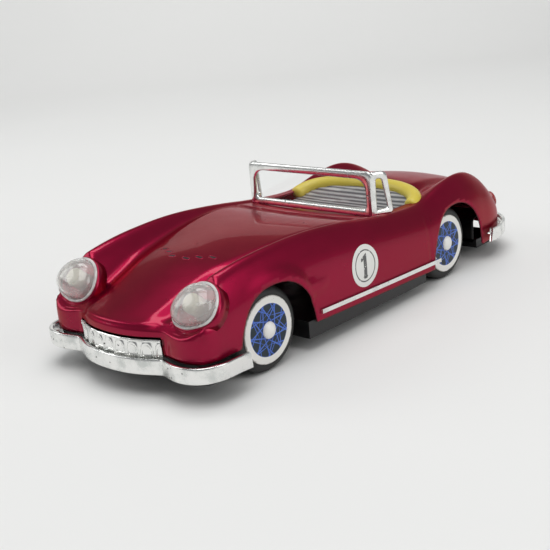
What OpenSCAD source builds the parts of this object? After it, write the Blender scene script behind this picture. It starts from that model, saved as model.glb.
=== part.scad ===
// Friction-driven pressed-tin roadster, about 1:18, with four spoked wheels
// and a geared flywheel motor on the rear axle.
// The front of the car points along -Y, +X is its left side, and Z = 0 is the floor.

/* [Body] */
// Distance between the two axles
wheelbase = 141; // [120:1:180]
// From the front axle to the face of the front bumper
front_overhang = 50; // [42:0.5:60]
// From the rear axle to the face of the rear bumper
rear_overhang = 78.5; // [66:0.5:95]
// Widest part of the body
body_width = 101.2; // [84:0.2:122]
// From the sill at mid length up to the highest line of the front wings
body_height = 40; // [34:0.5:48]
// Height of the sill above the floor at mid length
sill_height = 12; // [10:0.5:15]
// Thickness of the tin in the body pressing
body_tin = 0.8; // [0.5:0.1:1.2]
// How much wider each wheel arch is than the tyre, on each side
arch_side_gap = 5.5; // [3:0.5:8]
// How far the top of each wheel arch is above the tyre
arch_top_gap = 0.5; // [0:0.1:3]

/* [Cockpit] */
// Length of the cockpit opening behind the windscreen, along the car
cockpit_length = 52; // [42:1:64]
// Half width of the cockpit opening
cockpit_half_width = 37; // [30:0.5:44]
// Thickness of the sheet that the cockpit insert is pressed from
tray_tin = 0.8; // [0.5:0.1:1.2]
// Depth of the cockpit insert below the rim
tray_depth = 7; // [5:0.5:12]
// Radius of the yellow roll round the back of the cockpit
roll_radius = 4; // [3:0.25:5]

/* [Windscreen] */
// Height of the windscreen frame above the cowl
screen_height = 23; // [18:0.5:30]
// From the windscreen's side post to the side of the body
screen_inset = 11; // [9:0.5:16]
// Length of each swept-back wing of the frame
screen_wing = 12; // [8:0.5:16]
// Thickness of the frame's sheet
screen_tin = 1; // [0.6:0.1:1.4]
// Thickness of the clear pane
pane_thickness = 0.6; // [0.4:0.1:1]

/* [Wheels] */
// Outer diameter of the tyres
tyre_diameter = 38; // [34:0.5:44]
// Width of the tyres
tyre_width = 11; // [8:0.5:13]
// Diameter of the tin disc in the wheel's face
disc_diameter = 30; // [26:0.5:34]
// From the face of the wheel disc to the side of the body
wheel_inset = 3.4; // [2.5:0.1:6]
// Diameter of the domed cap on the wheel's centre
cap_diameter = 7.6; // [6:0.2:9]
// Diameter of both axles
axle_diameter = 3; // [2:0.1:4]
// Radial running clearance of every shaft in its bearing holes
running_gap = 0.05; // [0.02:0.01:0.1]

/* [Bumpers and trim] */
// Height of the face of both bumpers
bumper_height = 8; // [6:0.5:10]
// How far the bumper faces stand off the body
bumper_standoff = 2.6; // [1.5:0.1:4]
// Thickness of the bumper sheet
bumper_tin = 0.8; // [0.5:0.1:1.2]
// Half width of the grille plate
grille_half_width = 26; // [20:0.5:30]
// Height of the grille plate
grille_height = 7.5; // [5:0.5:9]
// Height of the bright strip along each sill
strip_height = 2; // [1.5:0.1:3]
// How far the bright strip stands off the body
strip_depth = 1; // [0.6:0.1:1.6]

/* [Lamps] */
// Diameter of the headlamp domes
lamp_diameter = 22; // [19:0.5:24]
// How far the headlamp domes bulge
lamp_bulge = 7.5; // [6:0.5:11]
// Wall of the headlamp domes
lamp_wall = 0.8; // [0.5:0.1:1.2]
// Diameter of the tail lamps
tail_lamp_diameter = 9; // [7:0.5:11]

/* [Motor] */
// Gear module of both gear pairs
gear_module = 0.6; // [0.5:0.05:0.7]
// Teeth on the gear that is fixed to the rear axle
axle_teeth = 32; // [28:1:34]
// Teeth on both pinions
pinion_teeth = 10; // [9:1:12]
// Teeth on the gear of the idler shaft
idler_teeth = 30; // [26:1:32]
// Width of the toothed part of every gear
gear_width = 3; // [2:0.5:4]
// Diameter of the idler and flywheel shafts
shaft_diameter = 2; // [1.5:0.1:2.5]
// Diameter of the flywheel
flywheel_diameter = 20; // [16:0.5:21]
// Width of the flywheel
flywheel_width = 9; // [6:0.5:11]
// Distance between the inner faces of the two motor plates
motor_gap = 24; // [20:0.5:30]
// Thickness of the motor plates
motor_plate = 1; // [0.8:0.1:1.5]

/* [Base] */
// Thickness of the tin in the base pressing
base_tin = 0.8; // [0.5:0.1:1.2]
// Height of the base's underside over the ground, midway between the axles
base_clearance = 6; // [4:0.5:7]
// Half width of the base where the wheels are
base_waist = 31; // [26:0.5:32]

/* [Hidden] */

// ---- Drawn size of the body lines ----
// The lines below are drawn in millimetres for these sizes; the functions that
// follow stretch them to the sizes chosen above.
drawn_half_width = 50.6;
drawn_half_base = 70.5;
drawn_front = 50;
drawn_rear = 78.5;
drawn_sill = 12;
drawn_height = 40;
// How much lower the sill runs for each millimetre towards the tail
rake = 0.037;
// The same for the underside of the base
base_rake = 0.017;

half_width = body_width / 2;
half_base = wheelbase / 2;
tyre_radius = tyre_diameter / 2;
axle_radius = axle_diameter / 2;
shaft_radius = shaft_diameter / 2;
// The origin is the middle of the car's length, not of its wheelbase
origin_shift = (front_overhang - rear_overhang) / 2;

// Heights along the car, as [station, height] with station 0 midway between the axles
centre_z = [
    [-118, 30.5], [-110, 33.5], [-98, 38], [-87, 42.3], [-73, 46.6], [-57, 48.6],
    [-40, 49.8], [-23, 50], [-10, 49.2], [0, 47.5], [8, 45.8], [18, 44.5], [40, 46],
    [60, 50], [72, 51.2], [85, 50], [99, 47.8], [119, 43], [135, 37.5], [146, 32]
];
shoulder_z = [
    [-118, 29.5], [-98, 36.6], [-87, 40.6], [-73, 44.8], [-57, 46.8], [-40, 48.8],
    [-23, 49.6], [-10, 49.3], [0, 47.8], [8, 46.3], [18, 44.9], [40, 44.4],
    [60, 47], [72, 49], [85, 48.2], [99, 46], [119, 41.2], [135, 35.5], [146, 30]
];
valley_z = [
    [-118, 28], [-98, 34.5], [-87, 38], [-73, 42.5], [-57, 45.5], [-40, 47.8],
    [-23, 49], [-10, 48.8], [0, 47.7], [8, 46.5], [18, 45.2], [40, 44.3],
    [60, 44.8], [72, 46], [85, 45.2], [99, 43.5], [119, 38.5], [135, 33], [146, 28]
];
crest_z = [
    [-118, 41], [-112, 43], [-105, 45.8], [-97, 48], [-88, 49.8], [-75, 51.6],
    [-60, 52.6], [-45, 53], [-30, 52.4], [-15, 51], [0, 49.2], [15, 47], [30, 45.3],
    [45, 44.3], [54, 44.3], [63, 46.3], [72, 48.6], [82, 50.4], [92, 51.2],
    [102, 50.4], [112, 47.8], [122, 43.4], [132, 37], [142, 29]
];
// Distances of the same lines from the car's middle, as [station, distance]
shoulder_x = [
    [-118, 16], [-98, 18], [-73, 20.5], [-40, 29], [-10, 35], [20, 36], [60, 28], [90, 24], [146, 22]
];
valley_x = [
    [-118, 27], [-98, 27.5], [-73, 30], [-40, 35], [-10, 38], [20, 38.5], [60, 33], [90, 30], [146, 30]
];
crest_x = [[-118, 39], [-60, 41], [60, 41.5], [146, 40]];
// Outline seen from above, as [distance from the middle, station], nose to tail
plan_outline = [
    [0, -118], [9, -117.4], [17, -115.4], [23, -112.8], [27, -111.4], [31, -112],
    [37, -112.7], [42.5, -112], [46.8, -109.4], [49, -104.5], [49.2, -96], [49.6, -75],
    [50.2, -40], [50.6, 0], [50.6, 40], [50.4, 80], [49.6, 105], [47.5, 120],
    [42.5, 132], [33.5, 140], [18, 145], [0, 146.5]
];
// Width of the rounded shoulder between the side and the top, by station
shoulder_round = [
    [-118, 2.5], [-114, 3.5], [-111, 12], [-100, 11], [-80, 10], [-20, 9],
    [40, 8.5], [70, 10], [100, 12], [125, 18], [146, 20]
];
// Height at which the side stops being upright, by station
upright_z = [[-118, 29], [-113, 27], [-110, 25], [-60, 24], [0, 24], [60, 22], [100, 22], [146, 18]];

// ---- Curves ----
// Slope of a list of [station, value] at its point i, from its neighbours
function slope(list, i) =
    let (last = len(list) - 1, a = max(i - 1, 0), b = min(i + 1, last))
    (list[b][1] - list[a][1]) / (list[b][0] - list[a][0]);

// Cubic that runs from a to b over a length h with end slopes ma and mb
function cubic(a, b, ma, mb, h, t) =
    (2 * t^3 - 3 * t^2 + 1) * a + (t^3 - 2 * t^2 + t) * h * ma
    + (3 * t^2 - 2 * t^3) * b + (t^3 - t^2) * h * mb;

// Smooth value of a list of [station, value] at a station
function along(list, station) =
    let (
        last = len(list) - 1,
        at = min(max(station, list[0][0]), list[last][0]),
        i = max([for (n = [0 : last - 1]) if (n == 0 || at >= list[n][0]) n]),
        h = list[i + 1][0] - list[i][0]
    )
    cubic(list[i][1], list[i + 1][1], slope(list, i), slope(list, i + 1), h, (at - list[i][0]) / h);

// Running total of the lengths of a line's pieces
function run_lengths(points, i = 0, total = 0) =
    i == len(points) - 1 ? [total]
    : concat([total], run_lengths(points, i + 1, total + norm(points[i + 1] - points[i])));

outline_run = run_lengths(plan_outline);
outline_length = outline_run[len(outline_run) - 1];
outline_x = [for (i = [0 : len(plan_outline) - 1]) [outline_run[i], plan_outline[i][0]]];
outline_y = [for (i = [0 : len(plan_outline) - 1]) [outline_run[i], plan_outline[i][1]]];

// Point of the drawn outline after a run s along it. Runs that pass the middle
// of the nose or the tail carry on along the other side
function outline_at(s) =
    let (t = s < 0 ? -s : s > outline_length ? 2 * outline_length - s : s, side = t == s ? 1 : -1)
    [side * along(outline_x, t), along(outline_y, t)];

// Inward direction, taken from the outline's points a reach before and after
function inward_at(s, reach = 0.5) =
    let (step = outline_at(s + reach) - outline_at(s - reach))
    [-step[1], step[0]] / norm(step);

// Height of the drawn top surface at a distance x from the middle
function top_z(x, y) =
    let (
        at = [0, along(shoulder_x, y), along(valley_x, y), along(crest_x, y)],
        z = [along(centre_z, y), along(shoulder_z, y), along(valley_z, y), along(crest_z, y)],
        m = [0, (z[2] - z[0]) / at[2], (z[3] - z[1]) / (at[3] - at[1]), 0],
        i = x < at[1] ? 0 : x < at[2] ? 1 : 2,
        h = at[i + 1] - at[i]
    )
    x >= at[3] ? z[3] : cubic(z[i], z[i + 1], m[i], m[i + 1], h, (x - at[i]) / h);

// ---- Drawn sizes to real sizes ----
function real_x(x) = x * half_width / drawn_half_width;
function real_y(y) =
    origin_shift + (
        y < -drawn_half_base ? -half_base + (y + drawn_half_base) * front_overhang / drawn_front
        : y > drawn_half_base ? half_base + (y - drawn_half_base) * rear_overhang / drawn_rear
        : y * half_base / drawn_half_base
    );
function real_z(z) = sill_height + (z - drawn_sill) * body_height / drawn_height;
function sill_z(y) = sill_height - rake * (y - origin_shift);
function floor_z(y) = base_clearance - base_rake * (y - origin_shift);

// ---- Body pressing ----
columns = 46;
wall_rows = 2;
round_rows = 6;
top_rows = 9;
rows = wall_rows + round_rows + top_rows;
ring = 2 * columns;
// Directions are averaged this far round the corners, so that the shoulder can't fold
corner_reach = 9;

// Where each column of the body ends on the middle line
spine_y = [[0, -104], [45, -98], [outline_length - 45, 112], [outline_length, 120]];

// Point of the drawn skin: column run s, row k up from the sill, set in by the tin
function skin_point(s, k, inset) =
    let (
        edge = outline_at(s),
        inward = inward_at(s, corner_reach),
        nose = edge[1] > -100 ? 0 : min(max((42 - edge[0]) / 8, 0), 1),
        round_w = 3 * nose + along(shoulder_round, edge[1]) * (1 - nose),
        low = 28 * nose + along(upright_z, edge[1]) * (1 - nose),
        sill = drawn_sill - rake * edge[1],
        angle = 90 * min(max((k - wall_rows) / round_rows, 0), 1),
        into = round_w * (1 - cos(angle)) + inset * cos(angle),
        f = max((k - wall_rows - round_rows) / top_rows, 0),
        start = edge + inward * into,
        plan = [start[0] * (1 - f), start[1] * (1 - f) + along(spine_y, s) * f],
        height = top_z(plan[0], plan[1]),
        z = k < wall_rows ? sill + (low - sill) * k / wall_rows
            : low + (height - low) * sin(angle)
    )
    [plan[0], plan[1], z - inset * sin(angle)];

// Index of the point of column j and row k on one skin of the body
function skin_index(j, k) = let (c = j % ring)
    k < rows ? k * ring + c : rows * ring + min(c, ring - c);
skin_count = rows * ring + columns + 1;

function skin(inset) = concat(
    [for (k = [0 : rows - 1]) for (j = [0 : ring - 1])
        let (p = skin_point(min(j, ring - j) / columns * outline_length, k, inset), side = j > columns ? -1 : 1)
        [side * real_x(p[0]), real_y(p[1]), real_z(p[2])]],
    [for (j = [0 : columns])
        let (p = skin_point(j / columns * outline_length, rows, inset))
        [0, real_y(p[1]), real_z(p[2])]]
);

module body_skin() {
    faces_out = [for (k = [0 : rows - 1]) for (j = [0 : ring - 1])
        for (tri = [[[j, k], [j + 1, k + 1], [j + 1, k]], [[j, k], [j, k + 1], [j + 1, k + 1]]])
            [for (c = tri) skin_index(c[0], c[1])]];
    good = [for (f = faces_out) if (f[0] != f[1] && f[1] != f[2] && f[2] != f[0]) f];
    faces_in = [for (f = good) [f[0] + skin_count, f[2] + skin_count, f[1] + skin_count]];
    rim = [for (j = [0 : ring - 1])
        let (a = skin_index(j, 0), b = skin_index(j + 1, 0))
        for (tri = [[a, b, b + skin_count], [a, b + skin_count, a + skin_count]]) tri];
    polyhedron(concat(skin(0), skin(body_tin)), concat(good, faces_in, rim), convexity = 10);
}

// ---- Places that several pieces share ----
front_axle_y = origin_shift - half_base;
rear_axle_y = origin_shift + half_base;
wheel_face_x = half_width - wheel_inset;
arch_half_width = tyre_radius + arch_side_gap;
arch_top = tyre_diameter + arch_top_gap;
// The front arch sits a little behind the tyre's middle, and so does the rear one
front_arch_y = front_axle_y + 4.5;
rear_arch_y = rear_axle_y + 7.5;
nose_bottom = real_z(17.5);
tail_bottom = real_z(10.2);
grille_top = real_z(25.8);
bumper_low = real_z(9.3);
bumper_high = bumper_low + bumper_height;
cowl_y = real_y(17.8);
cowl_top = real_z(46.6);
cockpit_front = cowl_y + screen_tin + pane_thickness + 1;
cockpit_back = cockpit_front + cockpit_length;
cockpit_round = 21;
roll_start = cockpit_back - cockpit_round;
fit_gap = 0.05;

// Side view drawn in (Y, Z), as a solid between two X positions
module side_slab(x0, x1) {
    translate([x0, 0, 0]) rotate([90, 0, 90]) linear_extrude(x1 - x0) children();
}

// Copies the children to the other side of the car
module both_sides() {
    for (side = [0, 1]) mirror([side, 0, 0]) children();
}

// Half oval: a straight-sided arch whose corners are squarer than an ellipse
function arch_points(half, height, power = 2.3, steps = 36) = [
    for (i = [0 : steps]) let (a = 180 * i / steps, c = cos(a), s = sin(a))
        [half * sign(c) * abs(c) ^ (2 / power), height * s ^ (2 / power)]
];

// Point beside the plan outline: run s from the nose, right of the middle when
// s is negative, and out from the body by a distance
function beside(s, out) =
    let (p = outline_at(abs(s)), n = inward_at(abs(s)), side = s < 0 ? -1 : 1)
    [side * max(real_x(p[0]) - n[0] * out, 0), real_y(p[1]) - n[1] * out];

// Strip seen from above that follows the outline between two runs
module outline_strip(from, to, inner, outer, steps = 48) {
    runs = [for (i = [0 : steps]) from + (to - from) * i / steps];
    polygon(concat(
        [for (s = runs) beside(s, inner)],
        [for (i = [steps : -1 : 0]) beside(runs[i], outer)]
    ));
}

// The same round the tail, which is not where the runs start
module tail_strip(reach, inner, outer, steps = 48) {
    runs = [for (i = [0 : steps]) let (t = reach * (2 * i / steps - 1))
        (t < 0 ? -1 : 1) * (outline_length - abs(t))];
    polygon(concat(
        [for (s = runs) beside(s, inner)],
        [for (i = [steps : -1 : 0]) beside(runs[i], outer)]
    ));
}

// ---- Lamps ----
lamp_x = real_x(37.7);
lamp_y = real_y(-101.5);
lamp_z = real_z(38.2);
lamp_tilt = 40;
lamp_yaw = -3;
lamp_radius = lamp_diameter / 2;
// The domes are a little wider than they are tall
lamp_stretch = 0.97;
bulb_radius = 3.2;
bulb_height = 6;

// The children's +Z becomes the way the left headlamp points
module lamp_place() {
    translate([lamp_x, lamp_y, lamp_z]) rotate([90 - lamp_tilt, 0, lamp_yaw]) children();
}

module lamp_dome(radius, height) {
    intersection() {
        scale([1, lamp_stretch, height / radius]) sphere(r = radius, $fn = 32);
        translate([0, 0, height]) cube([4 * radius, 4 * radius, 2 * height], center = true);
    }
}

module lamp_lens() {
    color("whitesmoke", 0.4) lamp_place() difference() {
        lamp_dome(lamp_radius, lamp_bulge);
        translate([0, 0, -fit_gap]) lamp_dome(lamp_radius - lamp_wall, lamp_bulge - lamp_wall + fit_gap);
    }
}

module lamp_bulb() {
    color("ivory") lamp_place() rotate_extrude($fn = 48) polygon(concat(
        [[0, -body_tin - 2], [bulb_radius, -body_tin - 2]],
        [for (a = [0 : 10 : 90]) [bulb_radius * cos(a), bulb_height - bulb_radius * (1 - sin(a))]]
    ));
}

// ---- Tail lamps ----
tail_run = outline_length - 40;
tail_point = skin_point(tail_run, wall_rows + 2, 0);
tail_radius = tail_lamp_diameter / 2;

module tail_place() {
    translate([real_x(tail_point[0]), real_y(tail_point[1]), real_z(tail_point[2])])
        rotate([-75, 0, -38]) children();
}

module tail_lens() {
    color("darkred") tail_place() rotate_extrude($fn = 48) polygon(concat(
        [[0, -body_tin - 1.5], [tail_radius, -body_tin - 1.5]],
        [for (a = [0 : 10 : 90]) [tail_radius * cos(a), 1 + 2 * sin(a)]]
    ));
}

// ---- Body ----
vent_y = real_y(-72);
vent_steps = [[4.4, -1.9], [9.8, 1.2], [15.4, 3.9]];
screen_tab_x = [-30, -10, 10, 30];
screen_tab_width = 4;

// Opening seen from above: straight sides, then a half oval round the back,
// drawn in by an inset at the sides and the back, and longer in front by a lip
module cockpit_plan(inset = 0, lip = 0) {
    half = cockpit_half_width - inset;
    polygon(concat(
        [[-half, cockpit_front - lip], [half, cockpit_front - lip]],
        [for (p = arch_points(half, cockpit_round - inset)) [p[0], roll_start + p[1]]]
    ));
}

// The roll lies in a wider opening of its own outline
module roll_plan() {
    intersection() {
        offset(r = roll_radius + 2 * fit_gap, $fn = 48) polygon([for (p = roll_path) [p[0], p[1]]]);
        translate([-half_width, roll_start - 2 * fit_gap]) square([body_width, cockpit_length]);
    }
}

module wheel_arch(y) {
    side_slab(-half_width - 1, half_width + 1) translate([y, 0]) polygon(concat(
        [[-arch_half_width, -1], [arch_half_width, -1]],
        [for (p = arch_points(arch_half_width, arch_top - sill_height / 2)) p + [0, sill_height / 2]]
    ));
}

module body_openings() {
    translate([0, 0, sill_height]) linear_extrude(2 * body_height) {
        cockpit_plan();
        roll_plan();
    }
    for (y = [front_arch_y, rear_arch_y]) wheel_arch(y);
    // Under the nose and the tail, and behind the grille plate
    translate([-half_width - 1, -wheelbase, 0])
        cube([body_width + 2, wheelbase + front_axle_y - tyre_radius, nose_bottom]);
    translate([-half_width - 1, rear_axle_y + tyre_radius, 0])
        cube([body_width + 2, wheelbase, tail_bottom]);
    translate([-grille_half_width, real_y(-119), 0])
        cube([2 * grille_half_width, front_overhang / 2, grille_top]);
    for (side = [-1, 1]) {
        for (step = vent_steps) {
            translate([side * step[0] - 1.9, vent_y + step[1] - 0.6, sill_height])
                cube([3.8, 1.2, body_height]);
        }
        mirror([side < 0 ? 1 : 0, 0, 0]) {
            lamp_place() translate([0, 0, -1.5 * body_tin]) scale([1, lamp_stretch, 1])
                cylinder(r = lamp_radius, h = 3 * lamp_bulge, $fn = 48);
            tail_place() translate([0, 0, -4]) cylinder(r = tail_radius + fit_gap, h = 9, $fn = 48);
        }
    }
    for (x = screen_tab_x) {
        translate([x - screen_tab_width / 2 - fit_gap, cowl_y - fit_gap, real_z(38)])
            cube([screen_tab_width + 2 * fit_gap, screen_tin + 2 * fit_gap, 2 * screen_height]);
    }
}

module body_shell() {
    // The resize by nothing keeps the pressing as one surface of flat facets
    color("firebrick") resize([0, 0, 0]) {
        difference() {
            body_skin();
            body_openings();
        }
        // Flat bottom of each lamp recess, with a hole for the bulb
        both_sides() lamp_place() difference() {
            translate([0, 0, -2 * body_tin]) scale([1, lamp_stretch, 1])
                cylinder(r = lamp_radius + body_tin / 2, h = body_tin, $fn = 48);
            translate([0, 0, -3 * body_tin]) cylinder(r = bulb_radius + fit_gap, h = 4 * body_tin, $fn = 48);
        }
    }
}

// ---- Bumpers and trim ----
front_bumper_run = 70;
rear_bumper_reach = 72;
grille_run = 26.5;
bumper_taper = 2.2;

// Side view of a bumper face that narrows towards its end near the wheel
module bumper_side(tip_y, full_y, face_y) {
    polygon([
        [face_y, bumper_low], [full_y, bumper_low], [tip_y, bumper_low + bumper_taper / 2],
        [tip_y, bumper_high - bumper_taper], [full_y, bumper_high], [face_y, bumper_high]
    ]);
}

module front_bumper() {
    face_y = real_y(-118) - bumper_standoff - 1;
    color("silver") {
        intersection() {
            linear_extrude(bumper_high)
                outline_strip(-front_bumper_run, front_bumper_run, bumper_standoff - bumper_tin, bumper_standoff);
            side_slab(-half_width - 2 * bumper_standoff, half_width + 2 * bumper_standoff)
                bumper_side(real_y(-88), real_y(-106), face_y);
        }
        translate([0, 0, bumper_high - bumper_taper - bumper_tin]) linear_extrude(bumper_tin)
            outline_strip(1 - front_bumper_run, front_bumper_run - 1, fit_gap, bumper_standoff - bumper_tin / 2);
        // Grille plate, pressed in one with the bumper
        translate([0, 0, bumper_high - bumper_taper - bumper_tin])
            linear_extrude(grille_height + bumper_taper + bumper_tin)
                outline_strip(-grille_run, grille_run, fit_gap, fit_gap + bumper_tin);
    }
}

module rear_bumper() {
    color("silver") {
        intersection() {
            linear_extrude(bumper_high)
                tail_strip(rear_bumper_reach, bumper_standoff - bumper_tin, bumper_standoff);
            side_slab(-half_width - 2 * bumper_standoff, half_width + 2 * bumper_standoff)
                bumper_side(real_y(106), real_y(122), real_y(146.5) + bumper_standoff + 1);
        }
        translate([0, 0, bumper_high - bumper_taper - bumper_tin]) linear_extrude(bumper_tin)
            tail_strip(rear_bumper_reach - 1, fit_gap, bumper_standoff - bumper_tin / 2);
    }
}

strip_from = real_y(-39);
strip_to = real_y(58);
strip_rise = 4.2;

module sill_strip() {
    color("silver") intersection() {
        linear_extrude(body_height)
            outline_strip(110, 230, fit_gap, fit_gap + strip_depth);
        side_slab(0, half_width + 2 * strip_depth) polygon([
            [strip_from, sill_z(strip_from) + strip_rise - strip_height / 2],
            [strip_to, sill_z(strip_to) + strip_rise - strip_height / 2],
            [strip_to, sill_z(strip_to) + strip_rise + strip_height / 2],
            [strip_from, sill_z(strip_from) + strip_rise + strip_height / 2]
        ]);
    }
}

// ---- Windscreen ----
post_x = half_width - screen_inset;
screen_low = cowl_top;
screen_top = screen_low + screen_height - 2;
top_bar = 3.4;
bottom_bar = 2;
post_width = 3;
wing_turn = 20;

// One swept-back wing of the frame, from the corner post at the origin
module wing_outline(margin) {
    polygon([
        [margin, margin], [screen_wing - margin, margin],
        [screen_wing * 0.75 - margin, screen_top - screen_low - margin],
        [margin, screen_top - screen_low - margin]
    ]);
}

module wing_place() {
    translate([post_x, cowl_y, screen_low]) rotate([90, 0, 90 - wing_turn]) children();
}

module windscreen_frame() {
    color("silver") {
        translate([0, cowl_y + screen_tin, 0]) rotate([90, 0, 0]) linear_extrude(screen_tin) difference() {
            translate([-post_x, screen_low]) square([2 * post_x, screen_top - screen_low]);
            translate([-post_x + post_width, screen_low + bottom_bar])
                square([2 * (post_x - post_width), screen_top - screen_low - bottom_bar - top_bar]);
        }
        for (x = screen_tab_x) {
            translate([x - screen_tab_width / 2, cowl_y, real_z(42)])
                cube([screen_tab_width, screen_tin, screen_low - real_z(42) + bottom_bar / 2]);
        }
        both_sides() wing_place() translate([0, 0, -screen_tin]) linear_extrude(screen_tin) difference() {
            wing_outline(0);
            wing_outline(2);
        }
    }
}

module windscreen_pane() {
    color("azure", 0.3) {
        translate([-post_x + 1, cowl_y + screen_tin + fit_gap, screen_low + 0.5])
            cube([2 * post_x - 2, pane_thickness, screen_top - screen_low - 1]);
    }
}

// ---- Cockpit ----
tray_front = cockpit_front - 1.5;
tray_back = cockpit_back - 7;
tray_inset = roll_radius - 0.5;
tray_floor = real_z(45) - tray_depth;

// Side view of the insert's surface: a floor that rises into the seat back
tray_line = [
    [tray_front, real_z(42.9)], [tray_front + 4, tray_floor + 1], [tray_front + 8, tray_floor],
    [tray_front + 26, tray_floor + 0.8], [tray_back - 8, tray_floor + 2.6], [tray_back, real_z(42.5)]
];

module cockpit_insert() {
    lifted = [for (p = tray_line) p + [0, tray_tin]];
    back_to_front = [for (i = [len(lifted) - 1 : -1 : 0]) lifted[i]];
    color("darkgray") intersection() {
        side_slab(-cockpit_half_width, cockpit_half_width) polygon(concat(tray_line, back_to_front));
        linear_extrude(2 * body_height) cockpit_plan(tray_inset, cockpit_front - tray_front);
    }
}

roll_half = cockpit_half_width + 0.8;
roll_steps = 40;
roll_sides = 12;
roll_depth = cockpit_round - 3;

// Middle line of the roll, from the right end round the back to the left end
roll_path = [for (p = arch_points(roll_half, roll_depth, 2.5, roll_steps))
    [p[0], roll_start + p[1], real_z(42.6) + 5.6 * p[1] / roll_depth]];

// Tube along a line that keeps its own up direction
module tube(path, radius, sides) {
    last = len(path) - 1;
    points = [for (i = [0 : last])
        let (ahead = path[min(i + 1, last)] - path[max(i - 1, 0)], across = cross(ahead, [0, 0, 1]),
            out = across / norm(across), up = cross(out, ahead) / norm(ahead))
        for (k = [0 : sides - 1]) path[i] + radius * (cos(360 * k / sides) * out + sin(360 * k / sides) * up)];
    walls = [for (i = [0 : last - 1]) for (k = [0 : sides - 1])
        let (a = i * sides + k, b = i * sides + (k + 1) % sides)
        for (tri = [[a, b, b + sides], [a, b + sides, a + sides]]) tri];
    ends = [[for (k = [sides - 1 : -1 : 0]) k], [for (k = [0 : sides - 1]) last * sides + k]];
    polyhedron(points, concat(walls, ends));
}

module seat_roll() {
    color("gold") tube(roll_path, roll_radius, roll_sides);
}

// ---- Wheels ----
disc_radius = disc_diameter / 2;
cap_radius = cap_diameter / 2;
disc_tin = 0.6;
core_radius = disc_radius - 2;
core_width = tyre_width - 2;
cap_height = 1.9;

// The children's +Z becomes the wheel's outward direction
module wheel_place(axle_y, side) {
    translate([side * wheel_face_x, axle_y, tyre_radius]) rotate([0, side * 90, 0]) children();
}

module tyre(axle_y, side) {
    shoulder = 3;
    outer_edge = [for (a = [90 : -15 : 0])
        [tyre_radius - shoulder * (1 - cos(a)), -shoulder + shoulder * sin(a) - (1 - sin(a)) * 0.2]];
    inner_edge = [for (a = [0 : -15 : -90])
        [tyre_radius - shoulder * (1 - cos(a)), -tyre_width + shoulder + shoulder * sin(a)]];
    color("black") wheel_place(axle_y, side) translate([0, 0, -disc_tin]) rotate_extrude($fn = 96)
        polygon(concat([[core_radius, -tyre_width], [core_radius, 0], [disc_radius, 0]], outer_edge, inner_edge));
}

module wheel_disc(axle_y, side) {
    color("white") wheel_place(axle_y, side) rotate_extrude($fn = 96) polygon([
        [axle_radius, -disc_tin], [disc_radius, -disc_tin], [disc_radius, -disc_tin / 2],
        [disc_radius - disc_tin / 2, 0], [disc_radius - 3.4, 0], [axle_radius, 0]
    ]);
}

module wheel_core(axle_y, side) {
    color("dimgray") wheel_place(axle_y, side) translate([0, 0, -disc_tin]) rotate_extrude($fn = 96) polygon([
        [axle_radius, 0], [core_radius, 0], [core_radius, -core_width], [core_radius - 2, -core_width],
        [core_radius - 2, -2], [4, -2], [4, -core_width], [axle_radius, -core_width]
    ]);
}

module hub_cap(axle_y, side) {
    color("ivory") wheel_place(axle_y, side) rotate_extrude($fn = 48) polygon(concat(
        [[0, 1], [axle_radius, 1], [axle_radius, 0]],
        [for (a = [0 : 10 : 90]) [cap_radius * cos(a), cap_height * sin(a)]]
    ));
}

module axle(y) {
    color("lightgray") translate([0, y, tyre_radius]) rotate([0, 90, 0])
        cylinder(r = axle_radius, h = 2 * wheel_face_x + 2, center = true, $fn = 48);
}

// ---- Motor ----
pressure_angle = 25;
addendum = 0.8 * gear_module;
dedendum = 1.1 * gear_module;
backlash = 0.08;
centre_gap = 0.05;
axle_gear_radius = axle_teeth * gear_module / 2;
pinion_radius = pinion_teeth * gear_module / 2;
idler_gear_radius = idler_teeth * gear_module / 2;
flywheel_radius = flywheel_diameter / 2;
idler_y = rear_axle_y - axle_gear_radius - pinion_radius - centre_gap;
flywheel_y = idler_y - idler_gear_radius - pinion_radius - centre_gap;
motor_x = motor_gap / 2;
axle_stage_x = motor_x - 1.5 - gear_width;
flywheel_stage_x = -motor_x + 1.5;
shaft_reach = motor_x + motor_plate + 1.2;
pillar_radius = 1.5;
pillar_reach = max(flywheel_radius, axle_gear_radius + addendum) + pillar_radius + 1.2;
function floor_top_z(y) = floor_z(y) + base_tin;

// Involute flank: radius r of a gear with a given base radius, as an angle
function involute(base, r) = let (t = sqrt(max((r / base) ^ 2 - 1, 0))) t * 180 / PI - atan(t);

function gear_points(teeth, steps = 5) =
    let (
        pitch = teeth * gear_module / 2,
        base = pitch * cos(pressure_angle),
        root = pitch - dedendum,
        tip = pitch + addendum,
        half_tooth = 90 / teeth - backlash / 2 / pitch * 180 / PI,
        start = max(base, root)
    )
    [for (n = [0 : teeth - 1]) for (side = [-1, 1])
        let (edge = [for (i = [0 : steps]) let (r = start + (tip - start) * i / steps)
                [r, half_tooth + involute(base, pitch) - involute(base, r)]],
            whole = concat([[root, edge[0][1]]], edge),
            order = side < 0 ? whole : [for (i = [len(whole) - 1 : -1 : 0]) whole[i]])
        for (p = order) let (a = 360 * n / teeth + side * p[1]) [p[0] * cos(a), p[0] * sin(a)]];

// Toothed wheel on a shaft along X, turned so that a tooth or a gap faces its mate
module gear(y, x0, teeth, bore, turn) {
    translate([x0, y, tyre_radius]) rotate([90, 0, 90]) linear_extrude(gear_width) difference() {
        rotate(turn) polygon(gear_points(teeth));
        circle(r = bore, $fn = 48);
    }
}

module axle_gear() {
    color("goldenrod") gear(rear_axle_y, axle_stage_x, axle_teeth, axle_radius, 180);
}

module idler_pinion() {
    color("goldenrod") gear(idler_y, axle_stage_x, pinion_teeth, shaft_radius, 180 / pinion_teeth);
}

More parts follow.
